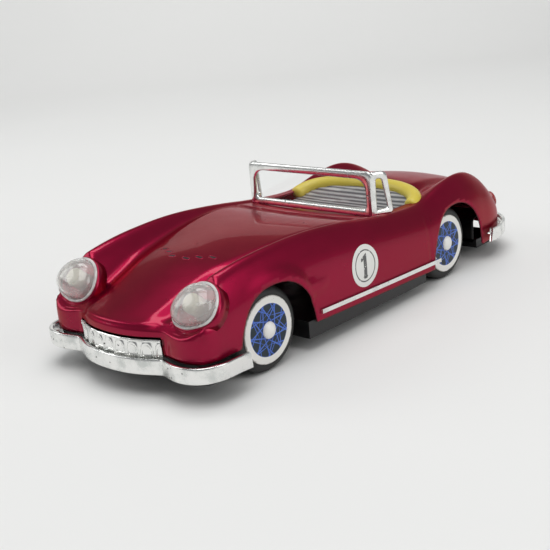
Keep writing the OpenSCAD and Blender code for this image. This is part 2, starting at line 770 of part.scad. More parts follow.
module idler_gear() {
    color("goldenrod") gear(idler_y, flywheel_stage_x, idler_teeth, shaft_radius, 180);
}

module flywheel_pinion() {
    color("goldenrod") gear(flywheel_y, flywheel_stage_x, pinion_teeth, shaft_radius, 180 / pinion_teeth);
}

module shaft(y) {
    color("lightgray") translate([0, y, tyre_radius]) rotate([0, 90, 0])
        cylinder(r = shaft_radius, h = 2 * shaft_reach, center = true, $fn = 48);
}

module flywheel() {
    chamfer = 0.6;
    half = flywheel_width / 2;
    color("slategray") translate([0, flywheel_y, tyre_radius]) rotate([0, 90, 0]) rotate_extrude($fn = 96)
        polygon([
            [shaft_radius, -half], [flywheel_radius - chamfer, -half], [flywheel_radius, chamfer - half],
            [flywheel_radius, half - chamfer], [flywheel_radius - chamfer, half], [shaft_radius, half]
        ]);
}

pillar_spots = [for (a = [38, -38]) [rear_axle_y, tyre_radius] + pillar_reach * [cos(a), sin(a)],
    for (a = [142, -142]) [flywheel_y, tyre_radius] + pillar_reach * [cos(a), sin(a)]];

// The plate stands on the base's sloping floor on a turned-in foot
module motor_plate_piece() {
    back = rear_axle_y + pillar_reach * cos(38) + 3;
    front = flywheel_y - pillar_reach * cos(38) - 3;
    high = tyre_radius + pillar_reach * sin(38) + 3;
    color("silver") {
        difference() {
            side_slab(motor_x, motor_x + motor_plate) polygon([
                [front, floor_top_z(front)], [back, floor_top_z(back)], [back, high - 4],
                [back - 4, high], [front + 4, high], [front, high - 4]
            ]);
            for (hole = [[rear_axle_y, axle_radius], [idler_y, shaft_radius], [flywheel_y, shaft_radius]]) {
                translate([0, hole[0], tyre_radius]) rotate([0, 90, 0])
                    cylinder(r = hole[1] + running_gap, h = 2 * shaft_reach, $fn = 48);
            }
        }
        side_slab(motor_x + motor_plate, motor_x + motor_plate + 4) polygon([
            [front, floor_top_z(front)], [back, floor_top_z(back)],
            [back, floor_top_z(back) + motor_plate], [front, floor_top_z(front) + motor_plate]
        ]);
    }
}

module motor_pillars() {
    color("lightgray") for (spot = pillar_spots) {
        translate([0, spot[0], spot[1]]) rotate([0, 90, 0])
            cylinder(r = pillar_radius, h = motor_gap, center = true, $fn = 48);
    }
}

// ---- Base ----
base_inset = body_tin + 0.4;
base_front = real_y(-110);
base_rear = real_y(138);
base_wall_top = 1;
// The rear wells run on behind the tyre, and the base is narrower behind them
well_half_width = tyre_radius + 5;
rear_well_extra = 18;
tail_waist = base_waist + 9;
bearing_x = base_waist - 4;
bearing_tin = 1;

// Base seen from above: inside the body's outline, with a well cut at each wheel
module base_plan(inset) {
    half_steps = 60;
    runs = [for (i = [0 : half_steps]) outline_length * i / half_steps];
    reach = well_half_width + inset;
    difference() {
        polygon(concat(
            [for (s = runs) beside(s, -base_inset - inset)],
            [for (i = [half_steps - 1 : -1 : 1]) beside(-runs[i], -base_inset - inset)]
        ));
        both_sides() {
            translate([base_waist - inset, front_axle_y - reach]) square([half_width, 2 * reach]);
            translate([base_waist - inset, rear_axle_y - reach])
                square([half_width, 2 * reach + rear_well_extra]);
            translate([tail_waist - inset, rear_axle_y]) square([half_width, rear_overhang]);
        }
        translate([-half_width, base_front - front_overhang + inset]) square([body_width, front_overhang]);
        translate([-half_width, base_rear - inset]) square([body_width, rear_overhang]);
    }
}

// Side view of the base, from its sloping underside up to a line
module base_side(front_top, rear_top) {
    front = real_y(-119);
    rear = real_y(147);
    side_slab(-half_width, half_width)
        polygon([[front, floor_z(front)], [rear, floor_z(rear)], [rear, rear_top], [front, front_top]]);
}

module base_plate() {
    front = real_y(-119);
    rear = real_y(147);
    color("black") {
        intersection() {
            linear_extrude(body_height) base_plan(0);
            base_side(floor_top_z(front), floor_top_z(rear));
        }
        intersection() {
            linear_extrude(body_height) difference() {
                base_plan(0);
                base_plan(base_tin);
            }
            base_side(sill_z(front) + base_wall_top, sill_z(rear) + base_wall_top);
        }
        // Ears that carry the front axle
        both_sides() difference() {
            side_slab(bearing_x, bearing_x + bearing_tin) translate([front_axle_y, 0]) polygon([
                [-5, floor_top_z(front_axle_y - 5)], [5, floor_top_z(front_axle_y + 5)],
                [4, tyre_radius + 3], [-4, tyre_radius + 3]
            ]);
            translate([0, front_axle_y, tyre_radius]) rotate([0, 90, 0])
                cylinder(r = axle_radius + running_gap, h = half_width, $fn = 48);
        }
    }
}

body_shell();
base_plate();
front_bumper();
rear_bumper();
windscreen_frame();
windscreen_pane();
cockpit_insert();
seat_roll();
lamp_lens();  // lamp_lens_left
mirror([1, 0, 0]) lamp_lens();  // lamp_lens_right
lamp_bulb();  // lamp_bulb_left
mirror([1, 0, 0]) lamp_bulb();  // lamp_bulb_right
tail_lens();  // tail_lens_left
mirror([1, 0, 0]) tail_lens();  // tail_lens_right
sill_strip();  // sill_strip_left
mirror([1, 0, 0]) sill_strip();  // sill_strip_right
tyre(front_axle_y, 1);  // tyre_front_left
tyre(front_axle_y, -1);  // tyre_front_right
tyre(rear_axle_y, 1);  // tyre_rear_left
tyre(rear_axle_y, -1);  // tyre_rear_right
wheel_disc(front_axle_y, 1);  // disc_front_left
wheel_disc(front_axle_y, -1);  // disc_front_right
wheel_disc(rear_axle_y, 1);  // disc_rear_left
wheel_disc(rear_axle_y, -1);  // disc_rear_right
wheel_core(front_axle_y, 1);  // core_front_left
wheel_core(front_axle_y, -1);  // core_front_right
wheel_core(rear_axle_y, 1);  // core_rear_left
wheel_core(rear_axle_y, -1);  // core_rear_right
hub_cap(front_axle_y, 1);  // cap_front_left
hub_cap(front_axle_y, -1);  // cap_front_right
hub_cap(rear_axle_y, 1);  // cap_rear_left
hub_cap(rear_axle_y, -1);  // cap_rear_right
axle(front_axle_y);  // front_axle
axle(rear_axle_y);  // rear_axle
axle_gear();
shaft(idler_y);  // idler_shaft
idler_pinion();
idler_gear();
shaft(flywheel_y);  // flywheel_shaft
flywheel_pinion();
flywheel();
motor_plate_piece();  // motor_plate_left
mirror([1, 0, 0]) motor_plate_piece();  // motor_plate_right
motor_pillars();
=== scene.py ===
"""Looks of the friction tin car: lacquered body, plated trim, printed wheels and cockpit, lenses and motor."""

import bpy
import numpy as np
from mathutils import Matrix, Vector


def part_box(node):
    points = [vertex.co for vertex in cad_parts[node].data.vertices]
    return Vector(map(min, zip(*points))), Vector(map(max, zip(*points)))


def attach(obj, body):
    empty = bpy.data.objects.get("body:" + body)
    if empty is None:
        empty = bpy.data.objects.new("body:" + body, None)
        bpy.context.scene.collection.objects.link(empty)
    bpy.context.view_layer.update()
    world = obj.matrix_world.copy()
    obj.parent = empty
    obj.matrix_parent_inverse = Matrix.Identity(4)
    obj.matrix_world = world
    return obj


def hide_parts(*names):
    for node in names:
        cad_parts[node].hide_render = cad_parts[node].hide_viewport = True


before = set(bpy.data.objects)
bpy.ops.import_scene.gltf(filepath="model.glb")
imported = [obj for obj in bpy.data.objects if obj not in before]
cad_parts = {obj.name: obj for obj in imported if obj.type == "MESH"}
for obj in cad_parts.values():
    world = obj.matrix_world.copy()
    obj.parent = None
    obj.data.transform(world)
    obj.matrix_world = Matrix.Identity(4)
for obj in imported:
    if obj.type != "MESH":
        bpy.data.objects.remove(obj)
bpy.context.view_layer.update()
MM = 0.001


# ---------------------------------------------------------------- places taken from the frame
def node_middle(node):
    """Middle of a node's box, in millimetres."""
    low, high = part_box(node)
    return (np.array(low) + np.array(high)) / (2 * MM)


FRONT_AXLE = node_middle("front_axle")
REAR_AXLE = node_middle("rear_axle")
# The body's lines are drawn with station 0 midway between the axles
SHIFT = (FRONT_AXLE[1] + REAR_AXLE[1]) / 2
# Thickness of the body's tin and of the thinner trim sheet
TIN, TRIM_TIN = 0.8, 0.6
# Height of the sill midway between the axles, and how much it falls per millimetre towards the tail
SILL, RAKE = 12.0, 0.037

# ---------------------------------------------------------------- lines of the body, in millimetres
# Heights along the car, as (station, height)
CENTRE_Z = [
    (-118, 30.5), (-110, 33.5), (-98, 38), (-87, 42.3), (-73, 46.6), (-57, 48.6),
    (-40, 49.8), (-23, 50), (-10, 49.2), (0, 47.5), (8, 45.8), (18, 44.5), (40, 46),
    (60, 50), (72, 51.2), (85, 50), (99, 47.8), (119, 43), (135, 37.5), (146, 32),
]
SHOULDER_Z = [
    (-118, 29.5), (-98, 36.6), (-87, 40.6), (-73, 44.8), (-57, 46.8), (-40, 48.8),
    (-23, 49.6), (-10, 49.3), (0, 47.8), (8, 46.3), (18, 44.9), (40, 44.4),
    (60, 47), (72, 49), (85, 48.2), (99, 46), (119, 41.2), (135, 35.5), (146, 30),
]
VALLEY_Z = [
    (-118, 28), (-98, 34.5), (-87, 38), (-73, 42.5), (-57, 45.5), (-40, 47.8),
    (-23, 49), (-10, 48.8), (0, 47.7), (8, 46.5), (18, 45.2), (40, 44.3),
    (60, 44.8), (72, 46), (85, 45.2), (99, 43.5), (119, 38.5), (135, 33), (146, 28),
]
CREST_Z = [
    (-118, 41), (-112, 43), (-105, 45.8), (-97, 48), (-88, 49.8), (-75, 51.6),
    (-60, 52.6), (-45, 53), (-30, 52.4), (-15, 51), (0, 49.2), (15, 47), (30, 45.3),
    (45, 44.3), (54, 44.3), (63, 46.3), (72, 48.6), (82, 50.4), (92, 51.2),
    (102, 50.4), (112, 47.8), (122, 43.4), (132, 37), (142, 29),
]
# Distances of those lines from the middle of the car
SHOULDER_X = [
    (-118, 16), (-98, 18), (-73, 20.5), (-40, 29), (-10, 35), (20, 36), (60, 28), (90, 24), (146, 22),
]
VALLEY_X = [
    (-118, 27), (-98, 27.5), (-73, 30), (-40, 35), (-10, 38), (20, 38.5), (60, 33), (90, 30), (146, 30),
]
CREST_X = [(-118, 39), (-60, 41), (60, 41.5), (146, 40)]
# Outline seen from above, as (distance from the middle, station), nose to tail
OUTLINE = [
    (0, -118), (9, -117.4), (17, -115.4), (23, -112.8), (27, -111.4), (31, -112),
    (37, -112.7), (42.5, -112), (46.8, -109.4), (49, -104.5), (49.2, -96), (49.6, -75),
    (50.2, -40), (50.6, 0), (50.6, 40), (50.4, 80), (49.6, 105), (47.5, 120),
    (42.5, 132), (33.5, 140), (18, 145), (0, 146.5),
]
# Width of the rounded shoulder, and the height at which the side stops being upright
ROUND = [
    (-118, 2.5), (-114, 3.5), (-111, 12), (-100, 11), (-80, 10), (-20, 9), (40, 8.5),
    (70, 10), (100, 12), (125, 18), (146, 20),
]
UPRIGHT_Z = [(-118, 29), (-113, 27), (-110, 25), (-60, 24), (0, 24), (60, 22), (100, 22), (146, 18)]


def step(low, high, x):
    """Smooth step: 0 below low, 1 above high, and 3t^2 - 2t^3 between them."""
    t = np.clip((x - low) / (high - low), 0, 1)
    return t * t * (3 - 2 * t)


def line(points, soft=3.0):
    """A smooth function through points: a cubic between each two, taken every quarter millimetre, then
    averaged with a bell curve whose width is soft. Past its ends it goes on straight."""
    grain = 0.25
    knots = np.array(points, float)
    x, y = knots[:, 0], knots[:, 1]
    slopes = np.gradient(y, x) if len(x) > 2 else np.full(2, (y[1] - y[0]) / (x[1] - x[0]))
    at = np.arange(x[0], x[-1] + grain, grain)
    i = np.clip(np.searchsorted(x, at, "right") - 1, 0, len(x) - 2)
    h = x[i + 1] - x[i]
    t = (at - x[i]) / h
    values = (
        (2 * t**3 - 3 * t**2 + 1) * y[i] + (t**3 - 2 * t**2 + t) * h * slopes[i]
        + (3 * t**2 - 2 * t**3) * y[i + 1] + (t**3 - t**2) * h * slopes[i + 1]
    )
    reach = int(4 * soft / grain)
    bell = np.exp(-0.5 * (np.arange(-reach, reach + 1) * grain / soft) ** 2)
    before = values[0] - slopes[0] * np.arange(reach, 0, -1) * grain
    after = values[-1] + slopes[-1] * np.arange(1, reach + 1) * grain
    soft_values = np.convolve(np.concatenate([before, values, after]), bell / bell.sum(), "valid")
    return lambda s: np.interp(s, at, soft_values)


centre_z, shoulder_z, valley_z, crest_z = (line(p) for p in (CENTRE_Z, SHOULDER_Z, VALLEY_Z, CREST_Z))
shoulder_x, valley_x, crest_x = (line(p, 6.0) for p in (SHOULDER_X, VALLEY_X, CREST_X))
round_width, upright_z = line(ROUND, 1.5), line(UPRIGHT_Z, 1.5)


def run_along(path):
    """Distance run along a path of points, from 0 at its first."""
    return np.r_[0, np.cumsum(np.linalg.norm(np.diff(path, axis=0), axis=1))]


def outline_lines():
    """The outline's length, and its two coordinates as smooth functions of the run along it from the nose. It
    carries on along the other side past the nose and the tail, so that it stays smooth there."""
    left = np.array(OUTLINE, float)
    right = left * [-1, 1]
    run = run_along(left)
    length = run[-1]
    runs = np.concatenate([-run[3:0:-1], run, 2 * length - run[-2:-5:-1]])
    points = np.concatenate([right[3:0:-1], left, right[-2:-5:-1]])
    return length, *(line(list(zip(runs, points[:, axis])), 1.2) for axis in (0, 1))


LENGTH, outline_x, outline_y = outline_lines()


def inward(s, reach):
    """Inward direction of the outline, square to the chord from a reach before s to a reach after it."""
    dx = outline_x(s + reach) - outline_x(s - reach)
    dy = outline_y(s + reach) - outline_y(s - reach)
    size = np.hypot(dx, dy)
    return -dy / size, dx / size


def top_height(x, y):
    """Height of the top pressing over a place: across the car it is a cubic through the middle, the hood's
    shoulder, the valley beside it and the wing's crest, whose heights run along the car as the lines say."""
    x = np.abs(x)
    at = np.stack([np.zeros_like(y), shoulder_x(y), valley_x(y), crest_x(y)])
    z = np.stack([centre_z(y), shoulder_z(y), valley_z(y), crest_z(y)])
    m = np.stack([np.zeros_like(y), (z[2] - z[0]) / at[2], (z[3] - z[1]) / (at[3] - at[1]), np.zeros_like(y)])
    out = z[3].copy()
    for i in range(3):
        h = at[i + 1] - at[i]
        t = np.clip((x - at[i]) / h, 0, 1)
        value = (
            (2 * t**3 - 3 * t**2 + 1) * z[i] + (t**3 - 2 * t**2 + t) * h * m[i]
            + (3 * t**2 - 2 * t**3) * z[i + 1] + (t**3 - t**2) * h * m[i + 1]
        )
        out = np.where((x >= at[i]) & (x < at[i + 1]), value, out)
    return out


# ---------------------------------------------------------------- meshes
def mesh_piece(name, points, faces, material, replaces=(), attributes=None):
    """A smooth-shaded piece of the car from points in millimetres and faces, with its finish."""
    mesh = bpy.data.meshes.new(name)
    mesh.from_pydata((np.asarray(points, float) * MM).tolist(), [], [list(map(int, f)) for f in faces])
    mesh.polygons.foreach_set("use_smooth", [True] * len(mesh.polygons))
    for key, values in (attributes or {}).items():
        layer = mesh.attributes.new(key, "FLOAT", "POINT")
        layer.data.foreach_set("value", np.asarray(values, np.float32))
    mesh.validate()
    piece = bpy.data.objects.new(name, mesh)
    bpy.context.scene.collection.objects.link(piece)
    piece.data.materials.append(material)
    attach(piece, "car")
    if replaces:
        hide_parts(*replaces)
    return piece


def grid_faces(rows, columns, closed=False):
    """Quads of a grid whose points run along the columns first."""
    last = columns if closed else columns - 1
    row, here = np.meshgrid(np.arange(rows - 1), np.arange(last), indexing="ij")
    there = (here + 1) % columns
    near, far = row * columns, (row + 1) * columns
    return np.stack([near + here, near + there, far + there, far + here], -1).reshape(-1, 4)


def weld(points, faces):
    """Joins points that share a place, and drops the faces and the points that this leaves without use."""
    grain = 1e-4
    places = np.round(points / grain).astype(np.int64)
    _, first, index = np.unique(places, axis=0, return_index=True, return_inverse=True)
    points, index = points[first], index.reshape(-1)
    clean = []
    for face in (index[f] for f in faces):
        face = [a for k, a in enumerate(face) if a != face[k - 1]]
        if len(set(face)) > 2:
            clean.append(face)
    used = np.zeros(len(points), bool)
    for face in clean:
        used[face] = True
    place = np.cumsum(used) - 1
    return points[used], [[place[a] for a in face] for face in clean], first[used]


def thicken(piece, wall):
    """Gives a sheet its wall, in millimetres, inwards from its drawn face."""
    modifier = piece.modifiers.new("wall", "SOLIDIFY")
    modifier.thickness = wall * MM
    modifier.offset = -1.0


def lathe(profile):
    """Points and faces of a profile of (radius, height) turned round +Z, closed at both ends."""
    steps = 48
    profile = np.array(profile, float)
    angle = np.linspace(0, 2 * np.pi, steps, endpoint=False)
    ring = np.stack([np.cos(angle), np.sin(angle)], -1)
    points = np.concatenate([np.c_[r * ring, np.full(steps, z)] for r, z in profile])
    return points, grid_faces(len(profile), steps, closed=True)


def tube(path, radius, sides):
    """A round tube along a path, with its ends filled: at each point a ring in the plane square to the path,
    with +Z as its guide. The radius changes along the path."""
    ahead = np.gradient(path, axis=0)
    ahead /= np.linalg.norm(ahead, axis=1)[:, None]
    out = np.cross(ahead, [0, 0, 1.0])
    out /= np.linalg.norm(out, axis=1)[:, None]
    up = np.cross(out, ahead)
    angle = np.linspace(0, 2 * np.pi, sides, endpoint=False)[None, :, None]
    ring = np.cos(angle) * out[:, None] + np.sin(angle) * up[:, None]
    rings = path[:, None] + radius[:, None, None] * ring
    faces = [list(f) for f in grid_faces(len(path), sides, closed=True)]
    last = (len(path) - 1) * sides
    faces += [list(range(sides))[::-1], [last + k for k in range(sides)]]
    return rings.reshape(-1, 3), faces


# ---------------------------------------------------------------- shader helper
class Wire:
    """A value in a material. Expressions on it add Math nodes, and constants may stand on either side."""

    def __init__(self, finish, socket):
        self.finish, self.socket = finish, socket

    def math(self, operation, *others):
        """A Math node with this value first."""
        return self.finish.node("ShaderNodeMath", {"operation": operation}, self, *others)

    def back(self, operation, other):
        """A Math node with this value second."""
        return self.finish.node("ShaderNodeMath", {"operation": operation}, other, self)

    def __add__(self, other):
        return self.math("ADD", other)

    def __radd__(self, other):
        return self.back("ADD", other)

    def __sub__(self, other):
        return self.math("SUBTRACT", other)

    def __rsub__(self, other):
        return self.back("SUBTRACT", other)

    def __mul__(self, other):
        return self.math("MULTIPLY", other)

    def __rmul__(self, other):
        return self.back("MULTIPLY", other)

    def __truediv__(self, other):
        return self.math("DIVIDE", other)

    def __rtruediv__(self, other):
        return self.back("DIVIDE", other)

    def __pow__(self, other):
        return self.math("POWER", other)

    def band(self, low, high):
        """0 where the value is below low and 1 above high, or the other way round if low is the larger."""
        settings = {"interpolation_type": "SMOOTHSTEP", "data_type": "FLOAT"}
        ends = (low, high, 0.0, 1.0) if low < high else (high, low, 1.0, 0.0)
        return self.finish.node("ShaderNodeMapRange", settings, self, *ends)


class Finish:
    """One material: a Principled shader and the few calls that its patterns are made of."""

    def __init__(self, name, **sockets):
        self.material = bpy.data.materials.new(name)
        self.material.use_nodes = True
        self.tree = self.material.node_tree
        self.shader = next(n for n in self.tree.nodes if n.type == "BSDF_PRINCIPLED")
        self.set(**sockets)
        self.place = self.node("ShaderNodeTexCoord", {}, out="Object")

    def set(self, **sockets):
        """Sets the shader's sockets, named with _ for a space. Numbers stay on the socket, wires are linked."""
        for key, value in sockets.items():
            socket = self.shader.inputs[key.replace("_", " ")]
            if isinstance(value, Wire):
                self.tree.links.new(value.socket, socket)
            elif isinstance(value, tuple) and len(value) == 3:
                socket.default_value = (*value, 1.0)
            else:
                socket.default_value = value

    def node(self, kind, settings, *values, out=0):
        """Adds a node: its settings first, then its inputs in order, where None leaves one as it is."""
        node = self.tree.nodes.new(kind)
        for key, value in settings.items():
            setattr(node, key, value)
        for socket, value in zip(node.inputs, values):
            if isinstance(value, Wire):
                self.tree.links.new(value.socket, socket)
            elif value is not None:
                socket.default_value = value
        return Wire(self, node.outputs[out])

    def noise(self, scale, detail=4.0, rough=0.55, stretch=None):
        """Cloudy noise in object space, scale in lumps per metre."""
        at = self.place if stretch is None else self.node(
            "ShaderNodeVectorMath", {"operation": "MULTIPLY"}, self.place, stretch)
        settings = {"noise_dimensions": "3D"}
        return self.node("ShaderNodeTexNoise", settings, at, None, scale, detail, rough)

    def cells(self, scale):
        """Distance to the nearest of scattered points, scale in points per metre."""
        return self.node("ShaderNodeTexVoronoi", {"feature": "F1"}, self.place, None, scale)

    def mix(self, mask, a, b):
        """Colour a where the mask is 0 and b where it is 1."""
        node = self.tree.nodes.new("ShaderNodeMix")
        node.data_type = "RGBA"
        for index, value in ((0, mask), (6, a), (7, b)):
            if isinstance(value, Wire):
                self.tree.links.new(value.socket, node.inputs[index])
            else:
                node.inputs[index].default_value = (*value, 1.0) if index else value
        return Wire(self, node.outputs[2])

    def axes(self, centre=(0, 0, 0)):
        """The three coordinates in millimetres, measured from a place in millimetres."""
        middle = tuple(c * MM for c in centre)
        moved = self.node("ShaderNodeVectorMath", {"operation": "SUBTRACT"}, self.place, middle)
        scaled = self.node("ShaderNodeVectorMath", {"operation": "SCALE"}, moved)
        scaled.socket.node.inputs["Scale"].default_value = 1 / MM
        parts = self.tree.nodes.new("ShaderNodeSeparateXYZ")
        self.tree.links.new(scaled.socket, parts.inputs[0])
        return [Wire(self, socket) for socket in parts.outputs]

    def bump(self, height, distance=0.0001, strength=1.0):
        """Links a height pattern, 1 being distance metres high, to the shader's normal."""
        node = self.tree.nodes.new("ShaderNodeBump")
        node.inputs["Strength"].default_value = strength
        node.inputs["Distance"].default_value = distance
        self.tree.links.new(height.socket, node.inputs["Height"])
        self.tree.links.new(node.outputs[0], self.shader.inputs["Normal"])

    def attribute(self, name):
        """A number that each point of the mesh carries."""
        return self.node("ShaderNodeAttribute", {"attribute_name": name}, out="Fac")


# ---------------------------------------------------------------- finishes
def red_lacquer():
    """Clear crimson lacquer over bright tin: slow changes of tone, fine orange peel, specks of dust, and worn
    bare edges where the attribute rim, the distance to a cut edge in millimetres, is small."""
    f = Finish("red_lacquer", Metallic=0.8, Coat_Weight=0.28, Coat_Roughness=0.05, IOR=1.5,
               Specular_Tint=(0.75, 0.25, 0.28))
    tone = f.noise(18, 3)
    worn = (f.attribute("rim") + f.noise(900, 3) * 1.1).band(0.78, 0.55)
    specks = f.cells(420).band(0.09, 0.05) * f.noise(60, 2).band(0.52, 0.62)
    red = f.mix(tone, (0.24, 0.002, 0.026), (0.34, 0.004, 0.042))
    red = f.mix(specks * 0.5, red, (0.12, 0.05, 0.045))
    f.set(Base_Color=f.mix(worn * 0.7, red, (0.10, 0.035, 0.035)))
    f.set(Roughness=0.24 + f.noise(140, 4) * 0.12 + worn * 0.25)
    f.bump(f.noise(700, 2) * 0.5 + f.noise(55, 2), 0.00004, 0.6)
    return f.material


def black_tin():
    """Black lacquer on tin, with grey dust in patches and rubbed spots."""
    f = Finish("black_tin", Coat_Weight=0.2, Coat_Roughness=0.2)
    dust = f.noise(120, 5).band(0.45, 0.75)
    f.set(Base_Color=f.mix(dust, (0.004, 0.004, 0.005), (0.018, 0.018, 0.017)), Specular_IOR_Level=0.35)
    f.set(Roughness=0.35 + dust * 0.3)
    f.bump(f.noise(600, 3), 0.00004, 0.6)
    return f.material


def bright_tin():
    """Old plating: bright, with soft cloudy bloom, small dark pits and fine bumps."""
    f = Finish("bright_tin", Metallic=1.0)
    bloom = f.noise(160, 4).band(0.42, 0.72)
    pits = f.cells(330).band(0.17, 0.09) * f.noise(90, 3).band(0.5, 0.6)
    tone = f.mix(bloom, (0.86, 0.86, 0.84), (0.66, 0.68, 0.66))
    f.set(Base_Color=f.mix(pits, tone, (0.16, 0.16, 0.15)))
    f.set(Roughness=0.16 + bloom * 0.2 + pits * 0.4)
    f.bump(f.noise(240, 3) * 0.7 - pits * 0.8, 0.00009, 0.7)
    return f.material


def clear_sheet():
    """Thin clear sheet with faint streaks that are a little rougher."""
    f = Finish("clear_sheet", Transmission_Weight=1.0, IOR=1.3, Base_Color=(0.97, 0.98, 0.98))
    f.set(Roughness=0.02 + f.noise(40, 4, stretch=(1, 1, 4)).band(0.5, 0.8) * 0.08)
    f.bump(f.noise(60, 2), 0.00002, 0.3)
    return f.material


def printed_trim():
    """Grey print of pleats across the car: fine light and dark lines, and scuffs."""
    f = Finish("printed_trim", Coat_Weight=0.4, Coat_Roughness=0.12)
    x, y, z = f.axes()
    pleat = (y * (np.pi * 2 / 2.6)).math("SINE") * 0.5 + 0.5
    seam = pleat.band(0.12, 0.02)
    scuff = f.noise(220, 5, stretch=(0.25, 1, 1)).band(0.5, 0.68)
    grey = f.mix(pleat, (0.12, 0.12, 0.125), (0.42, 0.42, 0.42))
    grey = f.mix(scuff * 0.55, grey, (0.62, 0.62, 0.60))
    f.set(Base_Color=f.mix(seam * 0.8, grey, (0.03, 0.03, 0.035)))
    f.set(Roughness=0.3 + scuff * 0.25)
    f.bump(pleat ** 0.6, 0.00035, 0.8)
    return f.material


def yellow_vinyl():
    """Soft yellow skin with a fine grain, its tone changing in soft patches."""
    f = Finish("yellow_vinyl", Coat_Weight=0.15, Coat_Roughness=0.3)
    tone = f.noise(70, 4)
    f.set(Base_Color=f.mix(tone, (0.56, 0.43, 0.035), (0.74, 0.62, 0.10)))
    f.set(Roughness=0.32 + f.noise(400, 3) * 0.2)
    f.bump(f.cells(1500) + f.noise(90, 3) * 2, 0.00008, 0.5)
    return f.material


def clear_lens():
    """Clear moulded plastic, faintly milky, with flow lines and fine scratches."""
    f = Finish("clear_lens", Transmission_Weight=0.76, IOR=1.12, Coat_Weight=1.0, Coat_Roughness=0.03)
    scratch = f.noise(260, 5, 0.7, stretch=(1, 0.2, 1.6)).band(0.56, 0.66)
    f.set(Base_Color=f.mix(scratch, (0.93, 0.92, 0.89), (0.99, 0.98, 0.96)))
    f.set(Roughness=0.03 + scratch * 0.4)
    f.bump(f.noise(300, 4, stretch=(1, 0.3, 1)) + scratch * 0.5, 0.00012, 0.7)
    return f.material


def frosted_edge():
    """The same plastic where it is thick and scuffed: milky, with pale and grey patches."""
    f = Finish("frosted_edge", Transmission_Weight=0.3, IOR=1.25, Coat_Weight=0.7, Coat_Roughness=0.08)
    f.set(Base_Color=f.mix(f.noise(240, 5).band(0.4, 0.62), (0.74, 0.72, 0.70), (0.96, 0.95, 0.93)))
    f.set(Roughness=0.2 + f.noise(400, 4) * 0.25)
    f.bump(f.noise(500, 4), 0.0001, 0.7)
    return f.material


def cream_plastic():
    """Cream moulding, a little yellowed in patches."""
    f = Finish("cream_plastic", Coat_Weight=0.3)
    f.set(Base_Color=f.mix(f.noise(160, 3), (0.72, 0.68, 0.52), (0.86, 0.83, 0.70)))
    f.set(Roughness=0.3 + f.noise(500, 3) * 0.15)
    f.bump(f.noise(500, 3), 0.00005, 0.5)
    return f.material


def white_cap():
    """White moulding with a few small dark scuffs."""
    f = Finish("white_cap", Coat_Weight=0.3)
    scuff = f.noise(600, 4, 0.7).band(0.66, 0.72)
    f.set(Base_Color=f.mix(scuff * 0.8, (0.84, 0.83, 0.80), (0.10, 0.09, 0.08)))
    f.set(Roughness=0.28 + f.noise(300, 3) * 0.2)
    f.bump(f.noise(500, 3), 0.00005, 0.5)
    return f.material


def red_lens():
    """Red moulded lens with a ribbed face."""
    f = Finish("red_lens", Coat_Weight=0.6, Coat_Roughness=0.05, Transmission_Weight=0.3)
    f.set(Base_Color=f.mix(f.noise(200, 3), (0.30, 0.003, 0.005), (0.45, 0.01, 0.012)))
    f.set(Roughness=0.12 + f.noise(600, 3) * 0.1)
    f.bump(f.cells(700), 0.0001, 0.5)
    return f.material


def tyre_rubber():
    """Dull black rubber, dusty in patches, with a fine grain."""
    f = Finish("tyre_rubber", Roughness=0.6)
    dust = f.noise(150, 5).band(0.42, 0.74)
    f.set(Base_Color=f.mix(dust, (0.006, 0.006, 0.006), (0.034, 0.034, 0.032)))
    f.set(Roughness=0.5 + dust * 0.3)
    f.bump(f.noise(900, 3) + f.noise(200, 2), 0.00006, 0.6)
    return f.material


def printed_disc(name, centre):
    """Wheel print: a white rim, and inside it a dark field crossed by two families of blue spokes, each
    leaning both ways. A spoke is a straight line that passes the centre at a small distance, so at radius r
    it has turned by the arcsine of that distance over r."""
    spokes_round = 9
    f = Finish(name, Coat_Weight=0.2, Coat_Roughness=0.12, Specular_IOR_Level=0.3)
    x, y, z = f.axes(centre)
    radius = (y * y + z * z) ** 0.5
    turn = z.math("ARCTAN2", y)
    field = radius.band(11.75, 11.55)
    spokes = None
    for offset, sign, width in ((3.6, 1, 0.27), (3.6, -1, 0.27), (6.4, 1, 0.24), (6.4, -1, 0.24)):
        lean = (offset / radius.math("MAXIMUM", offset)).math("ARCSINE") * sign
        phase = ((turn + lean) * (spokes_round / (2 * np.pi)) + 10.0 + offset / 9).math("FRACT") - 0.5
        distance = phase.math("ABSOLUTE") * radius * (2 * np.pi / spokes_round)
        wire = distance.band(width + 0.14, width - 0.08) * radius.band(offset - 0.1, offset + 0.2)
        spokes = wire if spokes is None else spokes.math("MAXIMUM", wire)
    ring = radius.band(5.6, 4.2)
    tint = f.noise(110, 2)
    dark = f.mix(tint, (0.002, 0.010, 0.010), (0.006, 0.022, 0.040))
    dark = f.mix(ring * 0.6, dark, (0.010, 0.040, 0.22))
    blue = f.mix(f.noise(260, 3), (0.030, 0.105, 0.56), (0.11, 0.24, 0.74))
    inside = f.mix(spokes * 0.92, dark, blue)
    # The white rim turns darker in a ragged band at its outer edge, next to the tyre
    outer_dark_band = (radius + f.noise(500, 4) * 1.6).band(15.2, 15.9)
    chips = f.cells(520).band(0.12, 0.07) * f.noise(130, 2).band(0.55, 0.62)
    white = f.mix(f.noise(90, 4), (0.78, 0.76, 0.71), (0.86, 0.85, 0.82))
    white = f.mix(outer_dark_band * 0.7, white, (0.16, 0.14, 0.12))
    white = f.mix(chips * 0.8, white, (0.20, 0.17, 0.15))
    edge = field * radius.band(11.3, 11.5)
    inside = f.mix(edge * 0.5, inside, (0.04, 0.12, 0.50))
    f.set(Base_Color=f.mix(field, white, inside))
    f.set(Roughness=0.28 + f.noise(300, 4) * 0.2)
    f.bump(f.noise(300, 3) * 0.6 + spokes * 0.25, 0.00005, 0.5)
    return f.material


